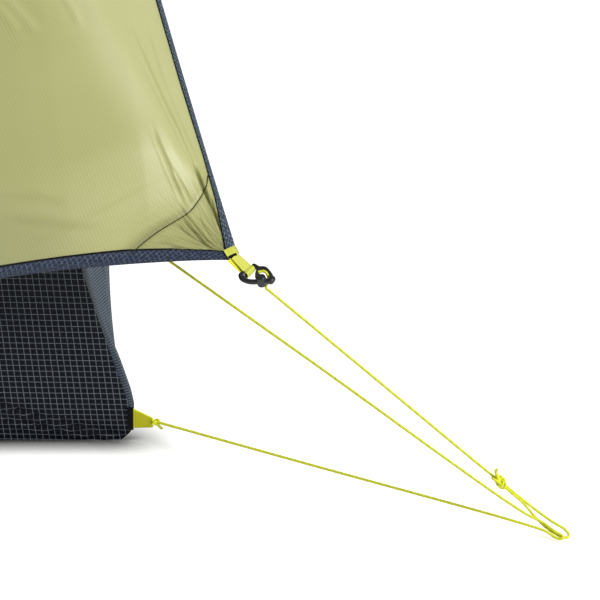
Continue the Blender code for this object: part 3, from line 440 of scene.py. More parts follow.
# Dark ripstop binding, folded over the fly's edges and stitched. UV runs along it in metres,
# and 0 to 1 across it from the outer edge; the light flecks are its thicker threads.
def bindingCloth(name, dark, light):
    material, add, shader = newMaterial(name, Roughness=0.55, Specular_IOR_Level=0.2)
    where = add("UVMap")
    metric = add("Mapping", {"Vector": where, "Scale": (1, 0.012, 1)})
    threads = gridLines(add, metric, 0.0030, 0.0030, 0.00036, 36)
    flecks = add("TexNoise", {"Vector": metric, "Scale": 420.0, "Detail": 1.0}, "Fac")
    lit = add("MapRange", {"Value": flecks, "From Min": 0.30, "From Max": 0.62})
    flecked = add("Math", [threads, lit], operation="MULTIPLY")
    base = add("Mix", {"Factor": flecked, "A": dark, "B": light}, **blend)
    across = add("SeparateXYZ", [where], "Y")
    seam = add("Math", [across, 0.88], operation="GREATER_THAN")
    final = add("Mix", {"Factor": seam, "A": base, "B": seamAndShadeBlack}, **blend)
    bump = add("Bump", {"Height": threads, "Strength": 0.3, "Distance": 0.0001})
    setInputs(shader, {"Base Color": final, "Normal": bump})
    return material


# Coated ripstop with a lighter thread grid: the bathtub floor's is black with threads 4.7 mm
# apart, and the end wall's is slate with single rows, drawn 1.9 mm apart, coarser than real ones.
floorLook = {
    "base": "#060A16",
    "thread": "#70777F",
    "pitch": (0.00463, 0.0047),
    "width": 0.00032,
    "turn": 0.0,
    "wear": (900, 900),
    "gloss": 0.12,
}
endLook = {
    "base": "#0F1922",
    "thread": "#51606E",
    "pitch": (noThreads, 0.0019),
    "width": 0.00065,
    "turn": 20,
    "wear": (60, 14),
    "gloss": 0.02,
}


def gridCloth(name, look):
    material, add, shader = newMaterial(name, Roughness=0.55, Specular_IOR_Level=look["gloss"])
    where = add("UVMap")
    threads = gridLines(add, where, *look["pitch"], look["width"], look["turn"])
    paintedShading = add("Attribute", take="Fac", attribute_name="paintedShading")
    spread = add("Mapping", {"Vector": where, "Scale": (*look["wear"], 1)})
    worn = add("TexNoise", {"Vector": spread, "Scale": 1.0, "Detail": 1.0}, "Fac")
    seen = add("Math", [threads, worn], operation="MULTIPLY")
    stronger = add("Math", [seen, 1.7], operation="MULTIPLY")
    tones = {"Factor": stronger, "A": look["base"], "B": look["thread"]}
    mixed = add("Mix", tones, clamp_factor=True, **blend)
    # Painted shade from the attribute: in the wall's slack folds, and on the end wall beside its
    # seam and under the fly
    dark = add("Mix", {"Factor": paintedShading, "A": mixed, "B": seamAndShadeBlack}, **blend)
    bump = add("Bump", {"Height": threads, "Strength": 0.3, "Distance": 0.0001})
    setInputs(shader, {"Base Color": dark, "Normal": bump})
    return material


# Fine knitted mesh of the inner tent. Its real holes are under 1 mm, too fine to render from
# a distance, so its cells are drawn 2 mm wide over a see-through cloth.
def meshCloth():
    material, add, shader = newMaterial("knitted_mesh", Base_Color="#5B6068", Roughness=0.8)
    where = add("UVMap")
    threads = gridLines(add, where, 0.002, 0.002, 0.0005, 45)
    cover = add("MapRange", {"Value": threads, "To Min": 0.30, "To Max": 0.85})
    shaders = [cover, add("BsdfTransparent"), shader.outputs["BSDF"]]
    setSurface(material, add("MixShader", shaders))
    return material


# Woven webbing: ribs across it and a soft sheen. UV runs along it and across it in metres.
def webbingCloth(name, base, ribColour):
    material, add, shader = newMaterial(name, Roughness=0.6)
    wave = {"Vector": add("UVMap"), "Scale": 230.0, "Distortion": 0.6, "Detail": 1.0}
    ribs = add("TexWave", wave, "Fac", bands_direction="X")
    mixed = add("Mix", {"Factor": ribs, "A": ribColour, "B": base}, **blend)
    bump = add("Bump", {"Height": ribs, "Strength": 0.5, "Distance": 0.0002})
    setInputs(shader, {"Base Color": mixed, "Normal": bump})
    return material


# Braided guyline in fluorescent yellow: slanting bands a little darker than the rest, and the
# fine crossing grooves of its braid. UV runs along the cord in metres and 0 to 1 round it.
def braidedCord():
    material, add, shader = newMaterial("braided_guyline", Roughness=0.6)
    metric = add("Mapping", {"Vector": add("UVMap"), "Scale": (1, 0.0063, 1)})
    turned = add("Mapping", {"Vector": metric, "Rotation": (0, 0, math.radians(38))})
    wave = {"Vector": turned, "Scale": 62.0, "Distortion": 0.4}
    bands = add("TexWave", wave, "Fac", bands_direction="X")
    narrow = add("MapRange", {"Value": bands, "From Min": 0.60, "From Max": 0.95})
    braid = gridLines(add, metric, 0.0008, 0.0008, 0.00012, 45)
    mixed = add("Mix", {"Factor": narrow, "A": "#E8EC2A", "B": "#D8DC26"}, **blend)
    ridges = {"Height": braid, "Strength": 0.5, "Distance": 0.0002}
    setInputs(shader, {"Base Color": mixed, "Normal": add("Bump", ridges, invert=True)})
    return material


def grainOf(add, scale, detail):
    # Fine noise in the piece's own metres
    where = add("TexCoord", take="Object")
    return add("TexNoise", {"Vector": where, "Scale": scale, "Detail": detail}, "Fac")


# Moulded nylon: near black, with the fine grain of a spark-eroded mould.
def mouldedNylon():
    material, add, shader = newMaterial("moulded_black_nylon", Base_Color="#1B1D21", Roughness=0.38)
    grain = grainOf(add, 1800.0, 2.0)
    bump = add("Bump", {"Height": grain, "Strength": 0.12, "Distance": 0.0001})
    setInputs(shader, {"Normal": bump})
    return material


# Drawn and anodised aluminium of the poles, with faint marks along the tube.
def anodisedTube():
    material, add, shader = newMaterial(
        "anodised_aluminium", Base_Color="#B4B8BE", Metallic=1.0, Roughness=0.32
    )
    marks = grainOf(add, 60.0, 4.0)
    rough = add("MapRange", {"Value": marks, "To Min": 0.27, "To Max": 0.38})
    setInputs(shader, {"Roughness": rough})
    return material


# Covered elastic that runs inside the poles, a pale braid over rubber.
def coveredElastic():
    material, add, shader = newMaterial("covered_elastic", Roughness=0.8)
    tones = {"Factor": grainOf(add, 1200.0, 1.0), "A": "#9C9C94", "B": "#E4E4DC"}
    setInputs(shader, {"Base Color": add("Mix", tones, **blend)})
    return material


# Polyester sewing thread, in a colour of its own for each seam, with painted shade between its
# twists as a fine noise.
def sewingThread(name, base):
    material, add, shader = newMaterial(name, Roughness=0.8, Specular_IOR_Level=0.2)
    tones = {"Factor": grainOf(add, 2500.0, 1.0), "A": "#000000", "B": base}
    setInputs(shader, {"Base Color": add("Mix", tones, **blend)})
    return material


materials = {
    "fly": flyCloth(flyLook),
    "binding": bindingCloth("ripstop_binding_tape", "#212A3C", "#566076"),
    # The foot tape is the hem's tape in a lighter copy, painted lighter for the light it catches
    "litFootBinding": bindingCloth("lit_copy_binding_tape", "#313C49", "#8291A0"),
    "wall": gridCloth("black_grid_ripstop", floorLook),
    "endWall": gridCloth("slate_ripstop", endLook),
    "mesh": meshCloth(),
    "webbing": webbingCloth("lime_webbing", "#E3E568", "#C9CB3E"),
    "tab": webbingCloth("yellow_webbing_tab", "#FBF720", "#EAE61A"),
    "cord": braidedCord(),
    "plastic": mouldedNylon(),
    "pole": anodisedTube(),
    "elastic": coveredElastic(),
    "darkThread": sewingThread("dark_thread", "#45461C"),
    "blackThread": sewingThread("black_thread", "#1A1C1E"),
    "blackTape": sewingThread("black_seam_tape", "#0A0B0E"),
}
print("materials made")


# Meshes
def addPiece(name, points, faces, uv, material, body="tent", paintedShading=None, smoothed=True):
    mesh = bpy.data.meshes.new(name)
    mesh.from_pydata([tuple(p) for p in np.asarray(points, float)], [], [tuple(f) for f in faces])
    layer = mesh.uv_layers.new(name="UVMap")
    corners = np.zeros(len(mesh.loops), int)
    mesh.loops.foreach_get("vertex_index", corners)
    layer.data.foreach_set("uv", np.asarray(uv, np.float32)[corners].ravel())
    # Painted shade, and on the fly a painted highlight, as a value at each point
    if paintedShading is not None:
        attribute = mesh.attributes.new("paintedShading", "FLOAT", "POINT")
        attribute.data.foreach_set("value", np.asarray(paintedShading, np.float32).ravel())
    if smoothed:
        mesh.shade_smooth()
    mesh.materials.append(materials[material])
    item = bpy.data.objects.new(name, mesh)
    bpy.context.scene.collection.objects.link(item)
    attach(item, body)
    return item


def gridFaces(rows, columns, start=0, flip=False):
    a = (np.arange(rows - 1)[:, None] * columns + np.arange(columns - 1)[None]).ravel() + start
    faces = np.stack([a, a + 1, a + columns + 1, a + columns], axis=1)
    return faces[:, ::-1] if flip else faces


def faceOutward(grid):
    # Whether the grid's faces must be turned to show their outer side
    normals = unitRows(np.cross(np.gradient(grid, axis=1), np.gradient(grid, axis=0)))
    return bool(np.sum(normals * gridNormals(grid)) < 0)


def standsFor(piece, node):
    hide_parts(node)


def clothSheet(node, name, grid, uv, material, side=same, body="tent", paintedShading=None):
    # A cloth panel that stands for a CAD sheet, whose CAD part it hides
    shown = side(grid)
    if paintedShading is None and material != "mesh":
        paintedShading = np.zeros(grid.shape[:2])
    faces = gridFaces(*grid.shape[:2], flip=faceOutward(shown))
    flatUv = uv.reshape(-1, 2)
    piece = addPiece(name, shown.reshape(-1, 3), faces, flatUv, material, body, paintedShading)
    standsFor(piece, node)


def rimPairs(rows, columns):
    # Neighbouring points all round a grid
    rim = [*range(columns)]
    rim += [j * columns + columns - 1 for j in range(1, rows)]
    rim += [(rows - 1) * columns + i for i in range(columns - 2, -1, -1)]
    rim += [j * columns for j in range(rows - 2, 0, -1)]
    return zip(rim, rim[1:] + rim[:1])


def thickSheet(name, grid, uv, material, thickness, body="tent"):
    # A closed band, with its other side under the grid
    rows, columns = grid.shape[:2]
    normals = gridNormals(grid)
    count = rows * columns
    points = np.concatenate([grid.reshape(-1, 3), (grid - normals * thickness).reshape(-1, 3)])
    flip = faceOutward(grid)
    faces = [*gridFaces(rows, columns, 0, flip), *gridFaces(rows, columns, count, not flip)]
    for a, b in rimPairs(rows, columns):
        quad = (a, count + a, count + b, b)
        faces.append(quad[::-1] if flip else quad)
    return addPiece(name, points, faces, np.tile(uv.reshape(-1, 2), (2, 1)), material, body)


def closedBand(name, outer, inner, uv, material, smoothed=True):
    # A strap between two grids
    rows, columns = outer.shape[:2]
    count = rows * columns
    faces = [*gridFaces(rows, columns, 0), *gridFaces(rows, columns, count, True)]
    faces += [(count + b, count + a, a, b) for a, b in rimPairs(rows, columns)]
    points = np.concatenate([outer.reshape(-1, 3), inner.reshape(-1, 3)])
    uv = np.tile(uv.reshape(-1, 2), (2, 1))
    return addPiece(name, points, faces, uv, material, smoothed=smoothed)


def planarUv(grid, origin, along):
    # Cloth coordinates in metres: along the given way and square to it on the cloth.
    normal = unit(gridNormals(grid).mean(axis=(0, 1)))
    first = unit(along - normal * np.dot(along, normal))
    second = np.cross(normal, first)
    away = grid - origin
    return np.stack([away @ first, away @ second], axis=-1)


def framesAlong(path):
    # Two ways square to a path, carried along it without twist
    tangents = unitRows(np.gradient(path, axis=0))
    side = unit(np.cross(tangents[0], vec(0.13, 0.97, 0.21)))
    sides = []
    for tangent in tangents:
        side = unit(side - tangent * np.dot(side, tangent))
        sides.append(side)
    return np.array(sides), np.cross(tangents, np.array(sides))


def tube(name, path, radius, material, sides=10, body="tent", closed=False, tip=0.5):
    # A round cord along a path, with rounded ends and its own UV
    path = np.asarray(path, float)
    side, other = framesAlong(path)
    if closed:
        path, side, other = [np.concatenate([rows, rows[:1]]) for rows in (path, side, other)]
    radii = radius * np.ones(len(path))
    turns = 2 * np.pi * np.arange(sides + 1) / sides
    ring = np.cos(turns)[None, :, None] * side[:, None]
    ring = ring + np.sin(turns)[None, :, None] * other[:, None]
    grid = path[:, None] + ring * radii[:, None, None]
    along = lengths(path)
    uv = gridUv(along[:, None], (turns / (2 * np.pi))[None])
    faces = [tuple(f) for f in gridFaces(len(path), sides + 1, flip=True)]
    points = [*grid.reshape(-1, 3)]
    coordinates = [*uv.reshape(-1, 2)]
    if not closed:
        for row, outward in ((0, path[0] - path[1]), (len(path) - 1, path[-1] - path[-2])):
            last = len(points)
            points.append(path[row] + unit(outward) * radii[row] * tip)
            coordinates.append(uv[row, 0])
            start = row * (sides + 1)
            for k in range(sides):
                face = (start + k, start + k + 1, last)
                faces.append(face if row else face[::-1])
    return addPiece(name, points, faces, coordinates, material, body)


def join(name, items):
    # Several small meshes as one piece.
    bpy.ops.object.select_all(action="DESELECT")
    for item in items:
        item.select_set(True)
    bpy.context.view_layer.objects.active = items[0]
    bpy.ops.object.join()
    items[0].name = name
    return items[0]


def bothSides(build):
    build("near", same)
    build("far", mirrored)



# Cords, with their knots; each route's points are in metres, as part.py has them.
cords = {
    "radius": 0.0010,
    "cornerLength": 0.368,
    "wallLength": 0.768,
    "knotSize": 0.00120,
    "doubleKnotSize": 0.00128,
}
hookAround = atStake(0.0175, -0.0034 * 0.9, 0.0076)
knotReach = np.linalg.norm(stake - flyCorner) - 0.0640
knotPoint = flyCorner + pullWay * knotReach - up * 0.0015
lockExit = flyCorner + pullWay * 0.0255 - up * 0.0044
throughLock = [
    (0.0140, -0.0016, 0.0036),
    (0.0168, 0.0008, 0.0036),
    (0.0192, 0.0010, 0.0022),
    (0.0198, 0.0009, -0.0030),
]
loopTip = [
    (0.030, 0.0020, 0.0178),
    (0.015, 0.0031, 0.0096),
    (0.0045, 0.0042, 0.0048),
    (0.0010, 0.0028, 0.0026),
    (0, 0, 0.0016),
    (0.0022, -0.0030, 0.0022),
]
cornerRoute = [
    *[inLock(*spot) for spot in throughLock],
    lockExit,
    lockExit + (knotPoint - lockExit) * 0.015,
    lockExit + (knotPoint - lockExit) * 0.5,
    knotPoint - pullWay * 0.010,
    knotPoint + stakeSide * 0.0008,
    knotPoint + pullWay * 0.014 + stakeSide * 0.0011,
    *[atStake(*spot) for spot in loopTip],
    hookAround,
    atStake(0.036, -0.0018, 0.0218),
    knotPoint + pullWay * 0.014 - stakeSide * 0.0011,
    knotPoint + pullWay * 0.0060 - stakeSide * 0.0012,
]
lineStart = pullOut + stakeWay * 0.0035 + up * 0.0006
lineEnd = footCorner + stakeWay * 0.0168 + up * 0.01885
bight = [
    (0.0100, -0.0044, 0.0068),
    (0.0030, -0.0044, 0.0042),
    (0.00194, -0.00472, 0.00391),
    (0.0015, -0.0055, 0.0032),
    (0.00194, -0.00628, 0.00249),
    (0.0030, -0.0066, 0.0022),
    (0.0085, -0.0066, 0.0032),
    (0.0150, -0.0064, 0.0056),
]
wallRoute = [
    lineStart,
    lineStart + (hookAround - lineStart) * 0.5,
    hookAround - stakeWay * 0.016 - stakeSide * 0.0034 + up * 0.0092,
    hookAround - stakeWay * 0.0010 + up * 0.0024,
    *[atStake(*spot) for spot in bight],
    hookAround - stakeWay * 0.014 - stakeSide * 0.0052 + up * 0.0008,
    lineEnd + (hookAround - lineEnd) * 0.4 - up * 0.0012,
    lineEnd,
]


def knotBall(name, centre, along, across, size, stretch):
    # An overhand knot as a closed trefoil, drawn out along its cord
    t = np.linspace(0, 2 * np.pi, 90, endpoint=False)
    x = (np.sin(t) + 2 * np.sin(2 * t)) * stretch
    y = np.cos(t) - 2 * np.cos(2 * t)
    z = -np.sin(3 * t)
    third = np.cross(along, across)
    path = centre + size * (x[:, None] * along + y[:, None] * across + z[:, None] * third)
    return tube(name, path, cords["radius"], "cord", 8, closed=True)


def stateCord(piece, node):
    standsFor(piece, node)


def cornerCord(label, side):
    path = side(routePoints(cornerRoute))
    cord = tube(f"corner_line_cord_{label}", path, cords["radius"], "cord")
    way = side(pullWay)
    across = unit(np.cross(way, side(lockUp)))
    knots = []
    for shift in (-1, 1):
        centre = side(knotPoint) + way * shift * 0.0012 + up * 0.0003
        size = cords["doubleKnotSize"]
        knots.append(knotBall(f"corner_knot_ball_{shift}_{label}", centre, way, across, size, 1.25))
    start = side(knotPoint - pullWay * 0.001 + up * 0.0005)
    spots = ((0, 0), (0.0030, 0.0030), (0.0062, 0.0052), (0.0086, 0.0054))
    tailRoute = [start + side(liftWay) * lift - way * back for lift, back in spots]
    knots.append(tube(f"corner_knot_tail_{label}", routePoints(tailRoute), 0.00115, "cord"))
    knot = join(f"corner_line_knot_{label}", knots)
    stateCord(cord, f"corner_line_{label}")


def wallCord(label, side):
    path = side(routePoints(wallRoute))
    cord = tube(f"wall_line_cord_{label}", path, cords["radius"], "cord")
    size = cords["knotSize"]
    beside = side(stakeSide)
    endWay = side(unit(hookAround - lineEnd))
    centre = side(lineEnd) + endWay * 0.0012 - up * 0.0006
    knots = [knotBall(f"tab_knot_ball_{label}", centre, endWay, beside, size, 0.9)]
    start = side(lineEnd + stakeWay * 0.003 - up * 0.001)
    tailRoute = [
        start + side(stakeWay) * along - up * drop + side(-stakeSide) * aside
        for along, drop, aside in ((0, 0, 0), (0.0025, 0.0016, 0.0008), (0.0050, 0.0030, 0.0010))
    ]
    knots.append(tube(f"tab_knot_tail_{label}", routePoints(tailRoute), cords["radius"], "cord"))
    startWay = side(unit(hookAround - lineStart))
    name = f"wall_knot_ball_{label}"
    knots.append(knotBall(name, side(lineStart), startWay, beside, size, 0.9))
    knot = join(f"wall_line_knots_{label}", knots)
    stateCord(cord, f"wall_line_{label}")


def bothCords(label, side):
    cornerCord(label, side)
    wallCord(label, side)


bothSides(bothCords)
print("cords made")

# The fly's side panel: a fine surface, closer near the webbed corner. Its size and area, like
# those of the other sheets, are the flat ones in metres.
flySide = {
    "columns": 390,
    "rows": 330,
    "dish": 0.018,
    "sheet": {"flat": (1.32, 1.50), "held": "stretched", "area": 1.40},
    "carriedBy": ["spine_section_1"],
}


def finely(count, power):
    return np.linspace(0, 1, count) ** power


def graded(steps, count, power, first):
    # The share of an edge's length at a step of the CAD panel's graded grid.
    step = steps * count
    rest = first + (1 - first) * (np.maximum(step - 1, 0) / (count - 1)) ** power
    return np.where(step <= 1, step * first, rest)


def ruledSurface(stepsU, stepsV):
    # The side panel's surface, at steps along the hem and up the foot edge, as the CAD has it.
    shareU = graded(stepsU, 16, 1.5, 0.006)
    shareV = graded(stepsV, 13, 1.4, 0.011)
    return coons(
        readAt(hemLine, shareU),
        readAt(sideRidge, shareU),
        readAt(footEdgeLine, shareV),
        readAt(line(hemEnd, ridgeEnd, 2), shareV),
        stepsU,
        stepsV,
    )


sideU = finely(flySide["columns"], 2.0)
sideV = finely(flySide["rows"], 1.5)
sideBase = dished(ruledSurface(sideU, sideV), flySide["dish"])

cornerHemWay = unit(readAt(hemLine, np.array([0.06]))[0] - flyCorner)
cornerEdgeWay = unit(readAt(footEdgeLine, np.array([0.10]))[0] - flyCorner)
cornerNormal = unit(np.cross(cornerHemWay, cornerEdgeWay))
if np.dot(cornerNormal, vec(0, -1, 0.5)) < 0:
    cornerNormal = -cornerNormal

# Folds drawn on the cloth as lines in millimetres from the corner, along the hem and up from it:
# the line, its half width, its depth (below nought for a raised fold) and its painted shade,
# below nought a painted highlight.
foldLines = [
    ([(8, 14), (10, 19.3), (13.4, 34.8), (17.8, 49.4), (21.7, 61.5), (26.7, 78.4)], 1.1, 1.2, 0.50),
    ([(13, 33), (17.4, 48), (21.5, 60), (24.5, 70), (27, 80)], 1.9, 1.1, 0.45),
    ([(7, 11), (9.3, 17), (12.3, 31), (14.7, 44), (15.4, 54)], 0.9, 0.7, 0.5),
    ([(9, 4.5), (13.4, 8.3), (21.3, 16.4), (29.5, 29.1), (36.6, 39.4), (41, 47)], 0.8, 0.9, 0.80),
    ([(9, 6), (12, 9.1), (17.7, 17.1), (23.1, 29.1), (26.4, 41.2)], 0.6, 0.4, 0.35),
    (
        [(14, 6), (20.3, 11.2), (25.1, 16.3), (28.5, 21.3), (32.7, 27.0), (36.8, 32.7), (40, 37)],
        1.6,
        1.1,
        0.70,
    ),
    ([(10, 5), (14.2, 7.5), (26.3, 14.8), (34.9, 21.5), (41.1, 27.7), (47, 31)], 0.8, 0.8, 0.65),
    ([(12, 6), (17, 8.4), (29.2, 13), (38.8, 17.5), (48.5, 21.3)], 0.7, 0.5, 0.40),
    ([(30, 20), (34, 24.5), (38, 29), (42, 35)], 0.6, 0.3, 0.50),
    ([(14, 4), (25, 7), (40, 10), (56, 10)], 1.6, 0.7, 0.30),
    ([(24, 5), (36, 7), (50, 14), (60, 16)], 1.4, 0.6, 0.25),
    ([(29, 33), (34.3, 41), (40.3, 56.1), (46.5, 70.3), (53.3, 86), (60, 104)], 1.2, 0.9, 0.45),
    ([(25, 36), (29.7, 44.3), (34.6, 54.6), (40.4, 64.1), (48.9, 77.4)], 0.9, 0.6, 0.35),
    (
        [(17, 48), (21.6, 62.3), (26.7, 78.4), (33.9, 96.8), (44.6, 126.3), (55.2, 159), (66, 195)],
        1.3,
        1.1,
        0.30,
    ),
    (
        [(14, 52), (17.5, 64.5), (22.1, 81), (28.9, 102), (38.1, 130.9), (44.7, 156.7), (52, 200)],
        1.2,
        0.5,
        0.12,
    ),
    ([(22, 58), (28.6, 74.3), (36, 90.2), (44.1, 107.6), (53.2, 131.4), (62, 158)], 1.1, 0.6, 0.16),
    ([(172, 224), (157.2, 201.4), (146.3, 186.1), (132.5, 169.4)], 3.4, -0.9, -0.20),
    ([(174, 208), (160.7, 191.7), (152.6, 179.4), (147, 171)], 3.2, -0.7, -0.12),
    ([(125, 226), (115.2, 204.2), (108.7, 190.2), (102, 174)], 3.2, -0.8, -0.14),
    ([(190, 31), (168.7, 31), (147.2, 28.5), (118.5, 26.1), (93.4, 25.8)], 3.4, 0.4, 0.10),
    ([(190, 48), (168, 47.8), (146.5, 46.1), (120, 41)], 3.8, 0.4, 0.06),
]
# The crest of the broad taut ridge that runs out of the corner, and the edge of the patch
ridgeLine = [(16, 26), (26, 47), (38, 68), (51, 95), (64, 122), (77, 150), (90, 180), (104, 215)]
ridgeLine += [(118, 255)]
patchEdge = [(80, 0.5), (73.4, 7), (64.6, 15), (54.2, 23.2), (43, 30.5), (32.4, 37.8), (26.8, 44.4)]
patchEdge += [(21, 53.4), (17.5, 60.8), (15.8, 68.1), (14.0, 72)]


def clothPlaces(grid):
    # Millimetres from the corner: along the hem, and up the cloth.
    uv = planarUv(grid, flyCorner, cornerHemWay) * 1000
    return uv[..., 0], -uv[..., 1]


def besideLine(x, y, route):
    # Distance from a line, more than nought on its right as it runs, and the share of its length.
    route = np.asarray(route, float)
    steps = np.linalg.norm(np.diff(route, axis=0), axis=1)
    starts = lengths(route)
    nearest = np.full(x.shape, 1e9)
    signed = np.zeros(x.shape)
    share = np.zeros(x.shape)
    for k, (a, b) in enumerate(zip(route, route[1:])):
        way = (b - a) / steps[k]
        along = np.clip((x - a[0]) * way[0] + (y - a[1]) * way[1], 0, steps[k])
        offX = x - a[0] - way[0] * along
        offY = y - a[1] - way[1] * along
        far = np.hypot(offX, offY)
        closer = far < nearest
        nearest = np.where(closer, far, nearest)
        signed = np.where(closer, far * np.sign(offX * way[1] - offY * way[0]), signed)
        share = np.where(closer, (starts[k] + along) / starts[-1], share)
    return signed, share


# Which sign of the distance lies on the corner's side of the patch edge
insideSign = np.sign(besideLine(np.array([12.0]), np.array([12.0]), patchEdge)[0][0])


def distancesFromEdges(grid):
    hemSide = np.cumsum(np.linalg.norm(np.diff(grid, axis=0, prepend=grid[:1]), axis=2), axis=0)
    edgeSide = np.cumsum(np.linalg.norm(np.diff(grid, axis=1, prepend=grid[:, :1]), axis=2), axis=1)
    return hemSide, edgeSide


# How the folds lie and look: heights and widths in millimetres, painted shade and highlight from
# nought to one
folds = {
    "swell": 0.45,
    "shade": 1.3,
    "ridge": 15.0,
    "steepSide": (27.0, 10.0),
    "slackSide": 95.0,
    "seamDip": 0.35,
    "patchShade": 0.13,
    "seamShade": (0.20, 0.45),
    "slackShade": (0.20, 0.22),
    "crestHighlight": 0.50,
    "steepSideHighlight": 0.72,
}


def foldedSide(grid):
    # The panel with its folds, and the painted shade (above nought) or highlight (below) at each
    # point
    x, y = clothPlaces(grid)
    shift = np.zeros(x.shape)
    paintedShading = np.zeros(x.shape)
    for route, half, depth, dark in foldLines:
        off, share = besideLine(x, y, route)
        strength = window(share, 0.06, 0.40, 0.75, 1.0)
        swells = bell(np.abs(off) - 1.9 * half, 1.2 * half)
        shift += depth * strength * (folds["swell"] * swells - bell(off, half))
        paintedShading += folds["shade"] * dark * strength * bell(off, 0.7 * half)
    # The edge side of the crest falls off steeply and catches the light; the other side is slack.
    off, ridgeShare = besideLine(x, y, ridgeLine)
    hemDistance, edgeDistance = distancesFromEdges(grid)
    strength = smooth(0.0, 0.35, ridgeShare) * (1 - 0.35 * smooth(0.6, 1.0, ridgeShare))
    edgeSide = -off
    steep, narrowing = folds["steepSide"]
    falling = np.where(edgeSide > 0, steep - narrowing * (1 - ridgeShare), folds["slackSide"])
    swell = folds["ridge"] * strength * bell(edgeSide, falling)
    swell *= smooth(0.0, 0.085, hemDistance) * smooth(0.0, 0.018, edgeDistance)
    # Painted shade where the patch lies under the cloth, darkest low and along its seam.
    off, share = besideLine(x, y, patchEdge)
    inside = smooth(-1.0, 1.0, -off if insideSign < 0 else off)
    outside = -off if insideSign > 0 else off
    everywhere, lower = folds["seamShade"]
    seamShade = everywhere + lower * (1 - smooth(0.35, 0.72, share))
    inner = inside * folds["patchShade"] * (1 - smooth(0.15, 0.50, share))
    outer = (1 - inside) * bell(np.maximum(outside, 0), 5.4) * seamShade
    paintedShading += inner + outer * smooth(0.0, 0.03, share)
    shift -= folds["seamDip"] * bell(off, 1.2)
    edge = smooth(0.0, 0.010, np.minimum(hemDistance, edgeDistance))
    moved = (shift * edge + swell) / 1000
    # Painted shade on the slack cloth towards the vestibule, and a painted highlight along the
    # crest of the ridge.
    far, low = folds["slackShade"]
    paintedShading += far * smooth(75, 190, x) * (1 - 0.6 * smooth(20, 160, y))
    paintedShading += low * smooth(80, 145, x) * (1 - smooth(12, 60, y))
    plain = folds["steepSideHighlight"]
    onEdge = plain + (1 - plain) * bell(edgeSide, 6)
    beyond = np.where(edgeSide > 0, onEdge, bell(edgeSide, 19))
    crest = (0.30 + 0.70 * smooth(0.12, 0.45, ridgeShare)) * smooth(0.0, 0.10, ridgeShare)
    paintedShading -= folds["crestHighlight"] * crest * beyond
    return grid + gridNormals(grid) * moved[..., None], np.clip(paintedShading, -1, 0.95)


sideFine, sideShading = foldedSide(sideBase)
# Past its ridge the panel runs on for a strip, to the zip.
stripColumns = 6
stripShares = np.arange(1, stripColumns + 1) / stripColumns
zipStrip = sideFine[:, -1:] - stripShares[None, :, None] * stripShift
sideFine = np.concatenate([sideFine, zipStrip], axis=1)
sideShading = np.pad(sideShading, ((0, 0), (0, stripColumns)), mode="edge")
sideUv = planarUv(sideFine, flyCorner, cornerHemWay)


def makeFlySide(label, side):
    name = f"fly_side_cloth_{label}"
    clothSheet(f"fly_side_{label}", name, sideFine, sideUv, "fly", side, paintedShading=sideShading)


bothSides(makeFlySide)

# Bindings: how wide the folded tape lies on the outer side, by the length along its edge
bands = {
    "thickness": 0.0012,
    "rise": 0.0005,
    "round": 0.0004,
    "width": 0.012,
    "zipWidth": 0.011,
    "stopsBefore": 0.005,
    "coil": 0.0010,
    "seam": 0.0007,
}
hemShape = {
    "at": [0.0, 0.030, 0.085, 0.130, 0.200, 2.0],
    "wide": [0.0066, 0.0086, 0.0122, 0.0132, 0.0137, 0.0137],
}
footShape = {
    "at": [0.0, 0.020, 0.055, 0.090, 0.150, 2.0],
    "wide": [0.0090, 0.0075, 0.0042, 0.0036, 0.0046, 0.0060],
}


def tapeOn(rows, normals, widths, count=9):
    # A folded tape laid on the cloth from its edge inwards, a little rounded over the edge
    grid = np.zeros((count, rows.shape[1], 3))
    shares = np.linspace(0, 1, count)
    rise = bands["rise"] + bands["round"] * np.sin(np.pi * np.clip(shares * 1.1 + 0.1, 0, 1))
    for k in range(rows.shape[1]):
        places = lengths(rows[:, k])
        here, facing = [
            np.stack([np.interp(shares * widths[k], places, values[:, k, n]) for n in range(3)], 1)
            for values in (rows, normals)
        ]
        grid[:, k] = here + unitRows(facing) * rise[:, None]
    return grid


def tapeUv(grid):
    along = lengths(grid[0])
    share = np.linspace(0, 1, grid.shape[0])
    return gridUv(along[None], share[:, None])


def tapeWidths(edge, shape):
    return np.interp(lengths(edge), shape["at"], shape["wide"])


def band(name, tape, side, material="binding", body="tent"):
    return thickSheet(name, side(tape), tapeUv(tape), material, bands["thickness"], body)


sideNormals = gridNormals(sideFine)
hemTape = tapeOn(sideFine, sideNormals, tapeWidths(sideFine[0], hemShape))
turnedSide = np.swapaxes(sideFine, 0, 1)
turnedNormals = np.swapaxes(sideNormals, 0, 1)
footTape = tapeOn(turnedSide, turnedNormals, tapeWidths(sideFine[:, 0], footShape))
footTape = footTape + cornerNormal * 0.0003


def flyBands(label, side):
    standsFor(band(f"fly_hem_tape_{label}", hemTape, side), f"fly_hem_{label}")
    # The foot tape takes the painted lighter copy of the binding
    foot = band(f"fly_foot_tape_{label}", footTape, side, "litFootBinding")
    standsFor(foot, f"fly_foot_binding_{label}")


bothSides(flyBands)

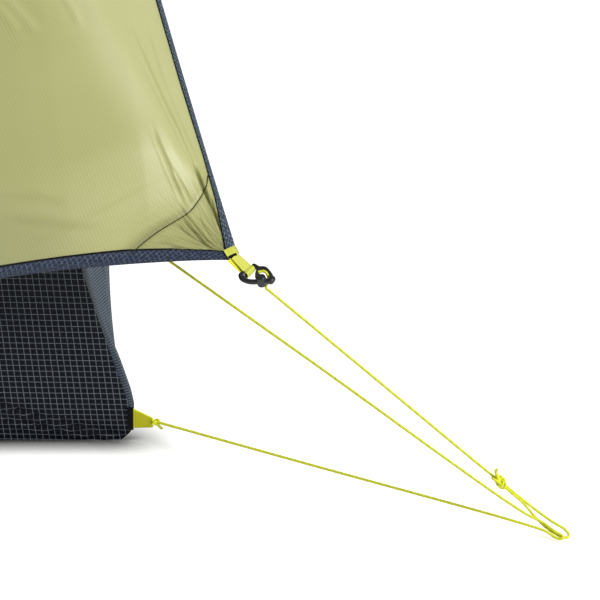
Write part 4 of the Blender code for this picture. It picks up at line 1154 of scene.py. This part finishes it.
# The other fly panels
flyDoor = {
    "columns": 40,
    "rows": 120,
    "sheet": {"flat": (0.54, 1.53), "held": "stretched", "area": 0.46},
}
flyShoulder = {
    "columns": 70,
    "rows": 80,
    "dish": 0.006,
    "sheet": {"flat": (0.75, 1.38), "held": "stretched", "area": 0.72},
}
flyHead = {
    "columns": 80,
    "rows": 80,
    "cadRows": 11,
    "sag": (0.050, 0, 0.020),
    "sheet": {"flat": (1.40, 1.15), "held": "stretched", "area": 1.0},
}
doorGrid = coons(
    line(vestibulePoint, hingeFoot, flyDoor["columns"]),
    betweenX(flyRidge, tent["doorFront"], tent["doorHinge"], flyDoor["columns"]),
    line(vestibulePoint, zipPoint, flyDoor["rows"]),
    line(hingeFoot, hingePoint, flyDoor["rows"]),
)
flyLegUp = even(flyLeg[::-1], flyShoulder["rows"])
shoulderGrid = coons(
    line(hingeFoot, flyHeadCorner, flyShoulder["columns"]),
    betweenX(flyRidge, tent["doorHinge"], flyRidge[-1][0], flyShoulder["columns"]),
    line(hingeFoot, hingePoint, flyShoulder["rows"]),
    flyLegUp,
)
shoulderGrid = dished(shoulderGrid, flyShoulder["dish"])


def headPanel(legUp, sizes):
    # The end panel between both legs, cut off just under the hub
    coarse = even(legUp, sizes["cadRows"])
    coarse[-1] = coarse[-2] + (coarse[-1] - coarse[-2]) * 0.72
    edge = even(coarse, sizes["rows"])
    return coons(
        sagged(edge[0], mirrored(edge[0]), sizes["columns"], vec(*sizes["sag"])),
        line(edge[-1], mirrored(edge[-1]), sizes["columns"]),
        edge,
        mirrored(edge),
    )


headGrid = headPanel(even(flyLeg[::-1], flyHead["cadRows"]), flyHead)


def flyPanels(label, side):
    for name, grid, corner, toward, sizes, body in (
        ("door", doorGrid, vestibulePoint, hingeFoot, flyDoor, f"fly_door_{label}_body"),
        ("shoulder", shoulderGrid, hingeFoot, flyHeadCorner, flyShoulder, "tent"),
    ):
        uv = planarUv(grid, corner, unit(toward - corner))
        node = f"fly_{name}_{label}"
        clothSheet(node, f"fly_{name}_cloth_{label}", grid, uv, "fly", side, body)


bothSides(flyPanels)


def outward(grid):
    # The panel's normals, pointing away from the middle of the tent
    normals = gridNormals(grid)
    return -normals if np.sum(normals * (grid - vec(-0.2, 0, 0.2))) < 0 else normals


def edgeTape(name, grid, side, body="tent", width=bands["width"], clear=None):
    # Binding folded over the first row of a panel; the end that clear names, 0 or -1, stops
    # short of the door's fold.
    tape = tapeOn(grid, outward(grid), width * np.ones(grid.shape[1]), 5)
    if clear is not None:
        beside = 1 if clear == 0 else -2
        tape[:, clear] += unitRows(tape[:, beside] - tape[:, clear]) * bands["stopsBefore"]
    band(name, tape, side, body=body)


def flyEdges(label, side):
    doorBody = f"fly_door_{label}_body"
    edgeTape(f"fly_door_hem_{label}", doorGrid, side, doorBody, clear=-1)
    edgeTape(f"fly_shoulder_hem_{label}", shoulderGrid, side, clear=0)
    # The zip's two tapes and coils, one on the panel and one on the door
    turned = np.swapaxes(doorGrid, 0, 1)
    edgeTape(f"fly_zip_door_tape_{label}", turned, side, doorBody, bands["zipWidth"])
    turned = np.swapaxes(sideFine[:, ::-1], 0, 1)[: stripColumns + 1]
    edgeTape(f"fly_zip_side_tape_{label}", turned, side, width=bands["zipWidth"])
    edge = doorGrid[:, 0] + outward(doorGrid)[:, 0] * 0.0022
    beside = unitRows(doorGrid[:, 1] - doorGrid[:, 0]) * 0.0013
    for name, path, body in (("door", edge + beside, doorBody), ("side", edge - beside, "tent")):
        tube(f"fly_zip_{name}_coil_{label}", side(path), bands["coil"], "plastic", 8, body)
    # Stitched seams between the panels
    for name, path in (
        ("ridge", sideRidge[:-1]),
        ("hinge", line(hingeFoot, hingePoint, 60)),
        ("leg", flyLegUp),
    ):
        path = side(path + up * 0.0006)
        tube(f"fly_seam_{name}_{label}", path, bands["seam"], "darkThread", 6)


bothSides(flyEdges)
edgeTape("fly_head_hem", headGrid, same)
headUv = planarUv(headGrid, flyHeadCorner, vec(0, 1, 0))
clothSheet("fly_head", "fly_head_cloth", headGrid, headUv, "fly")
print("fly made")

# Corner patch under the fly, with its seam stitched through
patch = {
    "rows": 60,
    "columns": 30,
    "under": 0.0012,
    "seamLift": 0.00042,
    "seam": 0.00036,
    "sheet": {"flat": (0.082, 0.074), "held": "stretched", "area": 0.00220},
}
sideX, sideY = clothPlaces(sideFine)


def onFly(x, y):
    # The point of the folded panel at a place on the cloth in millimetres.
    j, i = np.unravel_index(np.argmin((sideX - x) ** 2 + (sideY - y) ** 2), sideX.shape)
    i = min(max(i, 1), sideX.shape[1] - 2)
    j = min(max(j, 1), sideX.shape[0] - 2)
    turns = np.array(
        [
            [sideX[j, i + 1] - sideX[j, i - 1], sideX[j + 1, i] - sideX[j - 1, i]],
            [sideY[j, i + 1] - sideY[j, i - 1], sideY[j + 1, i] - sideY[j - 1, i]],
        ]
    )
    a, b = np.linalg.solve(turns, np.array([x - sideX[j, i], y - sideY[j, i]]))
    across = sideFine[j, i + 1] - sideFine[j, i - 1]
    upward = sideFine[j + 1, i] - sideFine[j - 1, i]
    return sideFine[j, i] + a * across + b * upward


patchRoute = even(routePoints([vec(x, y, 0) for x, y in patchEdge], 2.0), patch["rows"])
patchFree = np.array([onFly(p[0], p[1]) for p in patchRoute])
patchShares = np.linspace(0.06, 1, patch["columns"])
patchGrid = np.array(
    [
        [onFly(p[0] * s + 2 * (1 - s), p[1] * s + 2 * (1 - s)) for s in patchShares]
        for p in patchRoute
    ]
)
patchGrid = patchGrid - cornerNormal * patch["under"]
patchUv = planarUv(patchGrid, flyCorner, cornerHemWay)


def cornerPatch(label, side):
    name = f"fly_patch_cloth_{label}"
    clothSheet(f"fly_corner_patch_{label}", name, patchGrid, patchUv, "fly", side)
    seam = side(patchFree + cornerNormal * patch["seamLift"])
    tube(f"patch_seam_thread_{label}", seam, patch["seam"], "darkThread", 6)


bothSides(cornerPatch)

# Inner tent
sideWall = {
    "rows": 70,
    "columns": 220,
    "sheet": {"flat": (0.20, 2.16), "held": "stretched", "area": 0.36},
}
floor = {
    "rows": 80,
    "columns": 60,
    "footSag": -0.045,
    "headSag": 0.030,
    "sheet": {"flat": (1.30, 2.16), "held": "laid", "area": 2.5},
}
wallTop = sagged(pullOut, headWallTop, 121, vec(0, 0, -0.045))
wallShares = finely(sideWall["columns"], 1.5)
wallXs = pullOut[0] + (headWallTop[0] - pullOut[0]) * wallShares
wallPoints = np.array([whereX(wallTop, x) for x in wallXs])
seamKnee = footCorner + vec(0, 0, 0.022)
footSeam = even(np.array([footCorner, seamKnee, pullOut]), sideWall["rows"])
seamShares = footSeam[:, 2] / pullOut[2]
footSeam = footSeam + np.sin(np.pi * seamShares)[:, None] * vec(-0.0022, 0, 0)
headSeam = np.array([headCorner + (headWallTop - headCorner) * s for s in seamShares])
floorEdge = np.array([footCorner + (headCorner - footCorner) * s for s in wallShares])


def tucked(grid):
    # The floor's near foot corner is folded in under its tab.
    low = np.clip(1 - grid[..., 2] / 0.0085, 0, 1) ** 1.2
    away = np.hypot(grid[..., 0] - footCorner[0], np.abs(grid[..., 1]) + footCorner[1])
    close = 1 - smooth(0.0, 0.026, away)
    return grid + (low * close)[..., None] * vec(-0.0085, 0, 0)


wallGrid = tucked(coons(floorEdge, wallPoints, footSeam, headSeam))
# Slack folds that run down to the floor corner: height at the seam, slope, curve, half width,
# depth and how much painted shade lies in them, in metres.
slackFolds = [
    (0.0022, 0.20, 0.8, 0.0013, 0.0034, 0.70),
    (0.0002, 0.21, 0.4, 0.0009, 0.0014, 0.45),
    (-0.0028, 0.22, 0.0, 0.0012, 0.0028, 0.35),
]


def wallFolds(grid):
    grid = grid.copy()
    away = footCorner[0] - grid[..., 0]
    paintedShading = np.zeros(away.shape)
    fade = smooth(0.0, 0.012, away) * smooth(0.0, 0.004, grid[..., 2])
    fade = fade * (1 - smooth(0.25, 0.60, away))
    for rise, slope, curve, half, depth, dark in slackFolds:
        near = np.minimum(away, 0.16)
        off = (grid[..., 2] - (rise + slope * near + curve * near**2)) / half
        valley = bell(off, 1)
        grid[..., 1] += fade * depth * (valley - bell(off + 2.2, 1.6) * 0.9)
        # Painted shade in the valley of each fold
        paintedShading += dark * fade * valley * smooth(0.004, 0.03, away)
    return grid, np.clip(paintedShading, 0, 1)


wallFine, wallShading = wallFolds(wallGrid)
wallAway = footCorner[0] - wallFine[..., 0]
# The thread grid leans, and its rows lie wider apart as the wall rises.
wallUv = np.stack(
    [
        wallAway - 0.136 * wallFine[..., 2],
        0.841 * np.log(1 + 1.431 * wallFine[..., 2]) - 0.012 * wallAway,
    ],
    axis=-1,
)


def makeSideWall(label, side):
    node, name, sizes = f"side_wall_{label}", f"side_wall_cloth_{label}", sideWall["sheet"]
    clothSheet(node, name, wallFine, wallUv, "wall", side, paintedShading=wallShading)


bothSides(makeSideWall)


def floorEnd(corner, sag, count):
    return sagged(corner, mirrored(corner), count, vec(sag, 0, 0))


floorGrid = coons(
    line(footCorner, headCorner, floor["columns"]),
    mirrored(line(footCorner, headCorner, floor["columns"])),
    floorEnd(footCorner, floor["footSag"], floor["rows"]),
    floorEnd(headCorner, floor["headSag"], floor["rows"]),
)
floorGrid = tucked(floorGrid + up * 0.0005)
clothSheet("floor", "floor_cloth", floorGrid, floorGrid[..., :2], "wall")

# End walls, with two rows of stitches beside the corner seam and the shade under the fly
endWall = {
    "columns": 121,
    "stitchShade": (0.6, 0.4),
    "flyShade": 0.60,
    "footSheet": {"flat": (1.08, 0.44), "held": "stretched", "area": 0.34},
    "headSheet": {"flat": (1.30, 0.205), "held": "stretched", "area": 0.25},
}
footWallBack = 0.420 / math.tan(math.radians(tent["footPoleSlope"]))
footWallPeak = whereX(innerRidge, innerRidge[0][0] - footWallBack)
topHalf = line(pullOut, footWallPeak, endWall["columns"] // 2 + 1)
footWallTop = np.concatenate([topHalf, mirrored(topHalf)[::-1][1:]])
footWallGrid = coons(
    floorEnd(footCorner, floor["footSag"], endWall["columns"]),
    footWallTop,
    footSeam,
    mirrored(footSeam),
)
fromCorner = np.abs(footCorner[1]) - np.abs(footWallGrid[..., 1])
wallHeight = footWallGrid[..., 2]
slack = window(fromCorner, 0.03, 0.10, 0.20, 0.45)
slack = slack * np.sin(np.pi * np.clip(wallHeight / 0.16, 0, 1))
rounding = window(fromCorner, 0.0, 0.015, 0.03, 0.08)
rounding = rounding * window(wallHeight, 0.0, 0.02, 0.04, 0.10)
bulge = rounding * 0.0035 - slack * 0.0055
footWallGrid = tucked(footWallGrid + bulge[..., None] * vec(1, 0, 0))
headWallGrid = coons(
    floorEnd(headCorner, floor["headSag"], endWall["columns"]),
    sagged(headWallTop, mirrored(headWallTop), endWall["columns"], vec(0.030, 0, 0)),
    headSeam,
    mirrored(headSeam),
)
for end, grid in (("foot", footWallGrid), ("head", headWallGrid)):
    uv = np.stack([grid[..., 1], grid[..., 2]], axis=-1)
    inward = np.abs(grid[0, 0, 1]) - np.abs(grid[..., 1])
    first, second = endWall["stitchShade"]
    stitched = first * bell(inward, 0.008) + second * bell(inward - 0.050, 0.008)
    shade = np.clip(stitched + endWall["flyShade"] * smooth(0.06, 0.15, grid[..., 2]), 0, 0.9)
    node, sizes = f"{end}_end_wall", endWall[f"{end}Sheet"]
    clothSheet(node, f"{node}_cloth", grid, uv, "endWall", paintedShading=shade)

# Mesh panels over the walls, with each door between a foot and a shoulder panel
canopy = {
    "doorLow": (0.450, -0.700),
    "doorHigh": (0.300, -0.500),
    "foot": {"flat": (0.70, 0.95), "held": "stretched", "area": 0.54},
    "door": {"flat": (1.15, 1.00), "held": "stretched", "area": 0.92},
    "shoulder": {"flat": (0.50, 1.05), "held": "stretched", "area": 0.30},
    "head": {"flat": (1.24, 0.95), "held": "stretched", "area": 0.66},
}
canopyHead = {"columns": 80, "rows": 60, "cadRows": 10, "sag": (0.030, 0, 0)}
lowFront, lowBack = canopy["doorLow"]
highFront, highBack = canopy["doorHigh"]
doorFrontLow = whereX(wallTop, lowFront)
doorBackLow = whereX(wallTop, lowBack)
doorFrontHigh = whereX(innerRidge, highFront)
doorBackHigh = whereX(innerRidge, highBack)
canopyFootGrid = coons(
    betweenX(wallTop, pullOut[0], lowFront, 60),
    betweenX(innerRidge, footWallPeak[0], highFront, 60),
    line(pullOut, footWallPeak, 50),
    line(doorFrontLow, doorFrontHigh, 50),
)
innerDoorGrid = coons(
    betweenX(wallTop, lowFront, lowBack, 60),
    betweenX(innerRidge, highFront, highBack, 60),
    line(doorFrontLow, doorFrontHigh, 50),
    line(doorBackLow, doorBackHigh, 50),
)
innerLegTop = innerLeg[::-1]
legStart = int(np.searchsorted(innerLegTop[:, 2], headWallTop[2] + 0.010))
innerLegUp = even(np.array([headWallTop, *innerLegTop[legStart:]]), 60)
innerShoulderGrid = coons(
    betweenX(wallTop, lowBack, headWallTop[0], 40),
    betweenX(innerRidge, highBack, innerRidge[-1][0], 40),
    line(doorBackLow, doorBackHigh, 60),
    innerLegUp,
)
canopyHeadGrid = headPanel(innerLegUp, canopyHead)


def canopies(label, side):
    for node, grid, panel in (
        (f"canopy_foot_{label}", canopyFootGrid, "foot"),
        (f"inner_door_{label}", innerDoorGrid, "door"),
        (f"canopy_shoulder_{label}", innerShoulderGrid, "shoulder"),
    ):
        uv = planarUv(grid, grid[0, 0], unit(grid[0, -1] - grid[0, 0]))
        clothSheet(node, f"{node}_mesh", grid, uv, "mesh", side)


bothSides(canopies)
uv = planarUv(canopyHeadGrid, canopyHeadGrid[0, 0], vec(0, 1, 0))
clothSheet("canopy_head", "canopy_head_mesh", canopyHeadGrid, uv, "mesh")
print("inner tent made")

# Corner webbing: over the bound corner, round the lock's bar and back
webbing = {
    "width": 0.0090,
    "thickness": 0.0009,
    "underWidth": 0.0070,
    "bandWidth": 0.0092,
    "tackWidth": 0.0064,
    "tackThickness": 0.0008,
    "barRadius": 0.0015,
    "clearance": 0.0003,
    "columns": 7,
}


def onCorner(alongHem, upEdge, lift):
    # A place on the fly's corner, in metres along the hem, up the foot edge and off the cloth
    return flyCorner + cornerHemWay * alongHem + cornerEdgeWay * upEdge + cornerNormal * lift


barSeen = inLock(0.0042, -0.0006, 0)
strapFrom = onCorner(0.0027, 0.0012, 0.0020)
strapWay = unit(barSeen - strapFrom)
strapLong = np.linalg.norm(barSeen - strapFrom)
strapLift = unit(np.cross(strapWay, barWay))
loopRadius = webbing["barRadius"] + webbing["clearance"] + webbing["thickness"] / 2
bandSide = unit(cornerEdgeWay * 0.323 - cornerHemWay * 0.734)
bandWay = unit(np.cross(bandSide, cornerNormal))
if np.dot(bandWay, strapWay) < 0:
    bandWay = -bandWay


def strapCentre(start, finish):
    # The strap's line in metres along its way and up from it, measured from the bar
    layer = webbing["thickness"] / 2 + webbing["clearance"]
    front = [(s, layer) for s in np.linspace(start, -0.002, 14)]
    turns = np.radians(np.linspace(115, -115, 17))
    loop = [(loopRadius * math.cos(a), loopRadius * math.sin(a)) for a in turns]
    back = [(s, -layer) for s in np.linspace(-0.002, finish, 14)]
    return np.array([*front, *loop, *back])


def ribbon(name, centreLine, across, width, material, thickness=webbing["thickness"]):
    # A flat strap along a line, with a thin rounded edge on each side
    tangents = unitRows(np.gradient(centreLine, axis=0))
    normals = unitRows(np.cross(tangents, across))
    shares = np.linspace(-0.5, 0.5, webbing["columns"])
    places = shares[None, :] * np.broadcast_to(width, len(centreLine))[:, None]
    middle = centreLine[:, None] + across * places[..., None]
    fullness = np.sqrt(np.clip(1 - (shares * 2) ** 6, 0.15, 1))
    half = normals[:, None] * (thickness / 2 * fullness)[None, :, None]
    uv = gridUv(lengths(centreLine)[:, None], places)
    return closedBand(name, middle + half, middle - half, uv, material)


def cornerStrap(label, side):
    flat = strapCentre(-strapLong - 0.001, -strapLong + 0.004)
    path = np.array([barSeen + strapWay * a + strapLift * b for a, b in flat])
    ends = [strapFrom @ strapWay, barSeen @ strapWay]
    width = webbing["width"] * np.interp(path @ strapWay, ends, [0.78, 1.0])
    across = side(barWay)
    front = ribbon(f"corner_strap_front_{label}", side(path), across, width, "webbing")
    # Its under layer comes back a little to one side, and the two are held by a band.
    lowEnd = strapFrom - strapLift * 0.0007 - strapWay * 0.002
    under = line(barSeen - strapLift * 0.0013, lowEnd, 12)
    under = side(under - barWay * np.linspace(0.0016, 0.0030, 12)[:, None])
    back = ribbon(f"corner_strap_back_{label}", under, across, webbing["underWidth"], "tab")
    middle = onCorner(0.0041, 0.0060, 0.0022)
    spots = np.linspace(-0.0034, 0.0034, 9)
    wrap = side(np.array([middle + bandWay * s - cornerNormal * 40 * s * s for s in spots]))
    across = side(bandSide)
    around = ribbon(f"corner_band_{label}", wrap, across, webbing["bandWidth"], "webbing")
    strap = join(f"corner_strap_{label}", [front, back, around])
    standsFor(strap, f"fly_corner_strap_{label}")
    middle = onCorner(0.0043, 0.0020, 0.0030)
    tack = side(np.array([middle + bandWay * s for s in np.linspace(-0.0010, 0.0010, 5)]))
    width, thickness = webbing["tackWidth"], webbing["tackThickness"]
    ribbon(f"corner_bar_tack_{label}", tack, across, width, "blackThread", thickness)


bothSides(cornerStrap)

# Floor tab, folded from webbing and narrowed to its knot
tab = {
    "long": 0.0165,
    "low": 0.0099,
    "wide": 0.0151,
    "narrow": 0.0072,
    "thickness": 0.0016,
    "seamWidth": 0.0042,
}


def floorTab(label, side):
    alongs = np.linspace(-0.0002, tab["long"], 9)
    heights = tab["wide"] + (tab["narrow"] - tab["wide"]) * (alongs / tab["long"]).clip(0, 1)
    middle = tab["low"] + tab["wide"] / 2
    shares = np.linspace(-0.5, 0.5, webbing["columns"])
    grid = np.array(
        [
            [footCorner + stakeWay * a + up * (middle + h * s) - stakeSide * 0.0008 for s in shares]
            for a, h in zip(alongs, heights)
        ]
    )
    uv = gridUv(alongs[:, None], (shares * 0.015)[None])
    back = grid + stakeSide * tab["thickness"]
    piece = closedBand(f"floor_tab_{label}", side(grid), side(back), uv, "tab", smoothed=False)
    standsFor(piece, f"foot_corner_tab_{label}")
    # The black tape that its end is sewn under, upright on the corner of the wall
    low = footCorner + vec(-0.0016, -0.0008, 0.0085)
    high = footCorner + vec(-0.0016, -0.0008, 0.0262)
    across = side(vec(1, 0, 0))
    seam = side(line(low, high, 6))
    ribbon(f"tab_seam_tape_{label}", seam, across, tab["seamWidth"], "blackTape")


bothSides(floorTab)
print("webbing made")


# Line lock: an open frame that the strap's bar closes, a nose and a post for the cord, moulded
# as one piece. Places in millimetres along the lock, across it and up from its middle, and radii.
curvedSide = [(2.2, -5.6, 0.5), (1.9, -6.9, 0.2), (3.2, -8.6, 0), (6.0, -9.8, 0), (11.4, -9.9, 0)]
lock = {
    "rods": [
        ([(3.6, -6.6, 0), (4.2, -0.6, 0), (4.6, 6.0, 0)], 1.5),
        ([*curvedSide, (17.0, -7.5, 0)], 2.0),
        ([(2.4, -5.4, 0.5), (1.9, -6.8, 0.3)], 2.5),
        ([(3.4, 6.3, 0), (8.5, 5.3, 0), (12.7, 6.4, 0.4), (18.8, 3.9, 0), (25.0, -0.6, 0)], 1.8),
        ([(24.6, -0.8, 0), (24.9, -2.6, 0)], 2.8),
        ([(24.3, -3.4, 0), (19.5, -5.6, 0)], 2.2),
        ([(8.8, 4.8, 0), (10.2, 1.2, 0), (13.4, -3.4, 0), (17.0, -5.0, 0)], 1.6),
        ([(13.2, -3.2, 0), (13.9, -2.1, 2.3)], 1.2),
    ],
    "post": (18.6, -5.3),
    "postProfile": [(-4.3, 2.6), (-3.9, 3.2), (-3.2, 3.5), (3.0, 3.5), (3.7, 3.2), (4.1, 2.5)],
    "voxel": 0.00025,
    "smoothings": 8,
}


def roundedRod(name, path, radius):
    # A rod with half-round ends
    turns = np.radians([78, 58, 38, 18])
    start = [path[0] + unit(path[0] - path[1]) * radius * math.sin(t) for t in turns]
    finish = [path[-1] + unit(path[-1] - path[-2]) * radius * math.sin(t) for t in turns[::-1]]
    caps = radius * np.cos(turns)
    radii = np.concatenate([caps, radius * np.ones(len(path)), caps[::-1]])
    return tube(name, [*start, *path, *finish], radii, "plastic", 14, tip=0.0)


def lineLock(label, side):
    rods = []
    for route, radius in lock["rods"]:
        points = np.array([inLock(*[v / 1000 for v in p]) for p in route])
        points = routePoints(points, 0.0007) if len(points) > 2 else even(points, 6)
        rods.append(roundedRod("lock_rod", side(points), radius / 1000))
    along, across = lock["post"]
    post = [inLock(along / 1000, across / 1000, c / 1000) for c, _ in lock["postProfile"]]
    radii = np.array([r / 1000 for _, r in lock["postProfile"]])
    rods.append(tube("lock_post", side(np.array(post)), radii, "plastic", 28, tip=0.0))
    moulding = join(f"line_lock_moulding_{label}", rods)
    remesh = moulding.modifiers.new("remesh", "REMESH")
    remesh.mode = "VOXEL"
    remesh.voxel_size = lock["voxel"]
    soften = moulding.modifiers.new("soften", "SMOOTH")
    soften.factor = 0.5
    soften.iterations = lock["smoothings"]
    depsgraph = bpy.context.evaluated_depsgraph_get()
    shaped = bpy.data.meshes.new_from_object(moulding.evaluated_get(depsgraph))
    moulding.modifiers.clear()
    moulding.data = shaped
    shaped.shade_smooth()
    shaped.materials.clear()
    shaped.materials.append(materials["plastic"])
    standsFor(moulding, f"line_lock_{label}")


bothSides(lineLock)

# CAD pieces that stay as they are, with their finishes by a word in their names
finishes = {"section": "pole", "elastic": "elastic", "tab": "tab"}
for node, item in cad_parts.items():
    if item.hide_render:
        continue
    finish = next((finishes[word] for word in finishes if word in node), "plastic")
    item.data.materials.clear()
    item.data.materials.append(materials[finish])
print("hardware finished")

# A plain white floor that glows to pure white and keeps the soft shadow of the tent. A painted
# shadow, from the floor's ambient occlusion, lies along the two long sides of the tent's floor.
studio = {
    "tone": "#F4F4F4",
    "lit": "#F8F8F8",
    "glow": 0.55,
    "shadeReach": 0.037,
    "shadeFrom": 0.48,
    "shadeTo": 0.97,
    "besideY": (0.50, 0.545),
    "withinX": (1.17, 1.11),
    "worldStrength": 0.34,
    "size": 40,
    "lightPlace": (5.16, -2.7, 3.7),
    "lightAim": (0.8, -0.5, 0.2),
    "lightSize": 2.4,
    "lightPower": 300,
}


def floorMaterial(look):
    material, add, shader = newMaterial("white_floor", Base_Color=look["tone"], Roughness=0.9)
    rays = add("LightPath").node.outputs
    views = [rays["Is Camera Ray"], rays["Is Glossy Ray"]]
    seen = add("Math", views, operation="MAXIMUM")
    # Painted shadow: the floor darkens where its ambient occlusion is low, only beside the tent's
    # long sides
    near = add("AmbientOcclusion", {"Distance": look["shadeReach"]}, "AO", samples=12)
    openness = {"Value": near, "From Min": look["shadeFrom"], "From Max": look["shadeTo"]}
    clear = add("MapRange", openness)
    curved = add("Math", [clear, 1.5], operation="POWER")
    parts = add("SeparateXYZ", [add("NewGeometry", take="Position")])
    parts = parts.node.outputs
    fromMiddle = add("Math", [parts["Y"]], operation="ABSOLUTE")
    edges = []
    for value, (start, finish) in ((fromMiddle, look["besideY"]), (parts["X"], look["withinX"])):
        edge = {"Value": value, "From Min": start, "From Max": finish}
        edges.append(add("MapRange", edge))
    masked = add("Math", [edges[0], edges[1]], operation="MULTIPLY")
    mix = {"Factor": masked, 2: 1.0, 3: curved}
    contact = add("Mix", mix, data_type="FLOAT")
    glow = add("Math", [seen, look["glow"]], operation="MULTIPLY")
    kept = add("Math", [glow, contact], operation="MULTIPLY")
    shaded = add("Mix", {"Factor": contact, "A": "#000000", "B": look["lit"]}, **blend)
    white = {"Emission Color": (1, 1, 1, 1), "Emission Strength": kept}
    setInputs(shader, {"Base Color": shaded, **white})
    return material


reach = studio["size"]
corners = [(-reach, -reach, 0), (reach, -reach, 0), (reach, reach, 0), (-reach, reach, 0)]
floorMesh = bpy.data.meshes.new("studio_floor")
floorMesh.from_pydata(corners, [], [(0, 1, 2, 3)])
floorMesh.materials.append(floorMaterial(studio))
studioFloor = bpy.data.objects.new("studio_floor", floorMesh)
bpy.context.scene.collection.objects.link(studioFloor)

world = bpy.data.worlds.new("studio")
world.use_nodes = True
backdrop = {"Color": (1, 1, 1, 1), "Strength": studio["worldStrength"]}
setInputs(world.node_tree.nodes["Background"], backdrop)
bpy.context.scene.world = world

lamp = bpy.data.lights.new("key_light", "AREA")
lamp.shape = "DISK"
lamp.size = studio["lightSize"]
lamp.energy = studio["lightPower"]
light = bpy.data.objects.new("key_light", lamp)
light.location = studio["lightPlace"]
aim = Vector(studio["lightAim"]) - Vector(studio["lightPlace"])
light.rotation_euler = aim.to_track_quat("-Z", "Y").to_euler()
bpy.context.scene.collection.objects.link(light)

bpy.context.scene.view_settings.view_transform = "Standard"
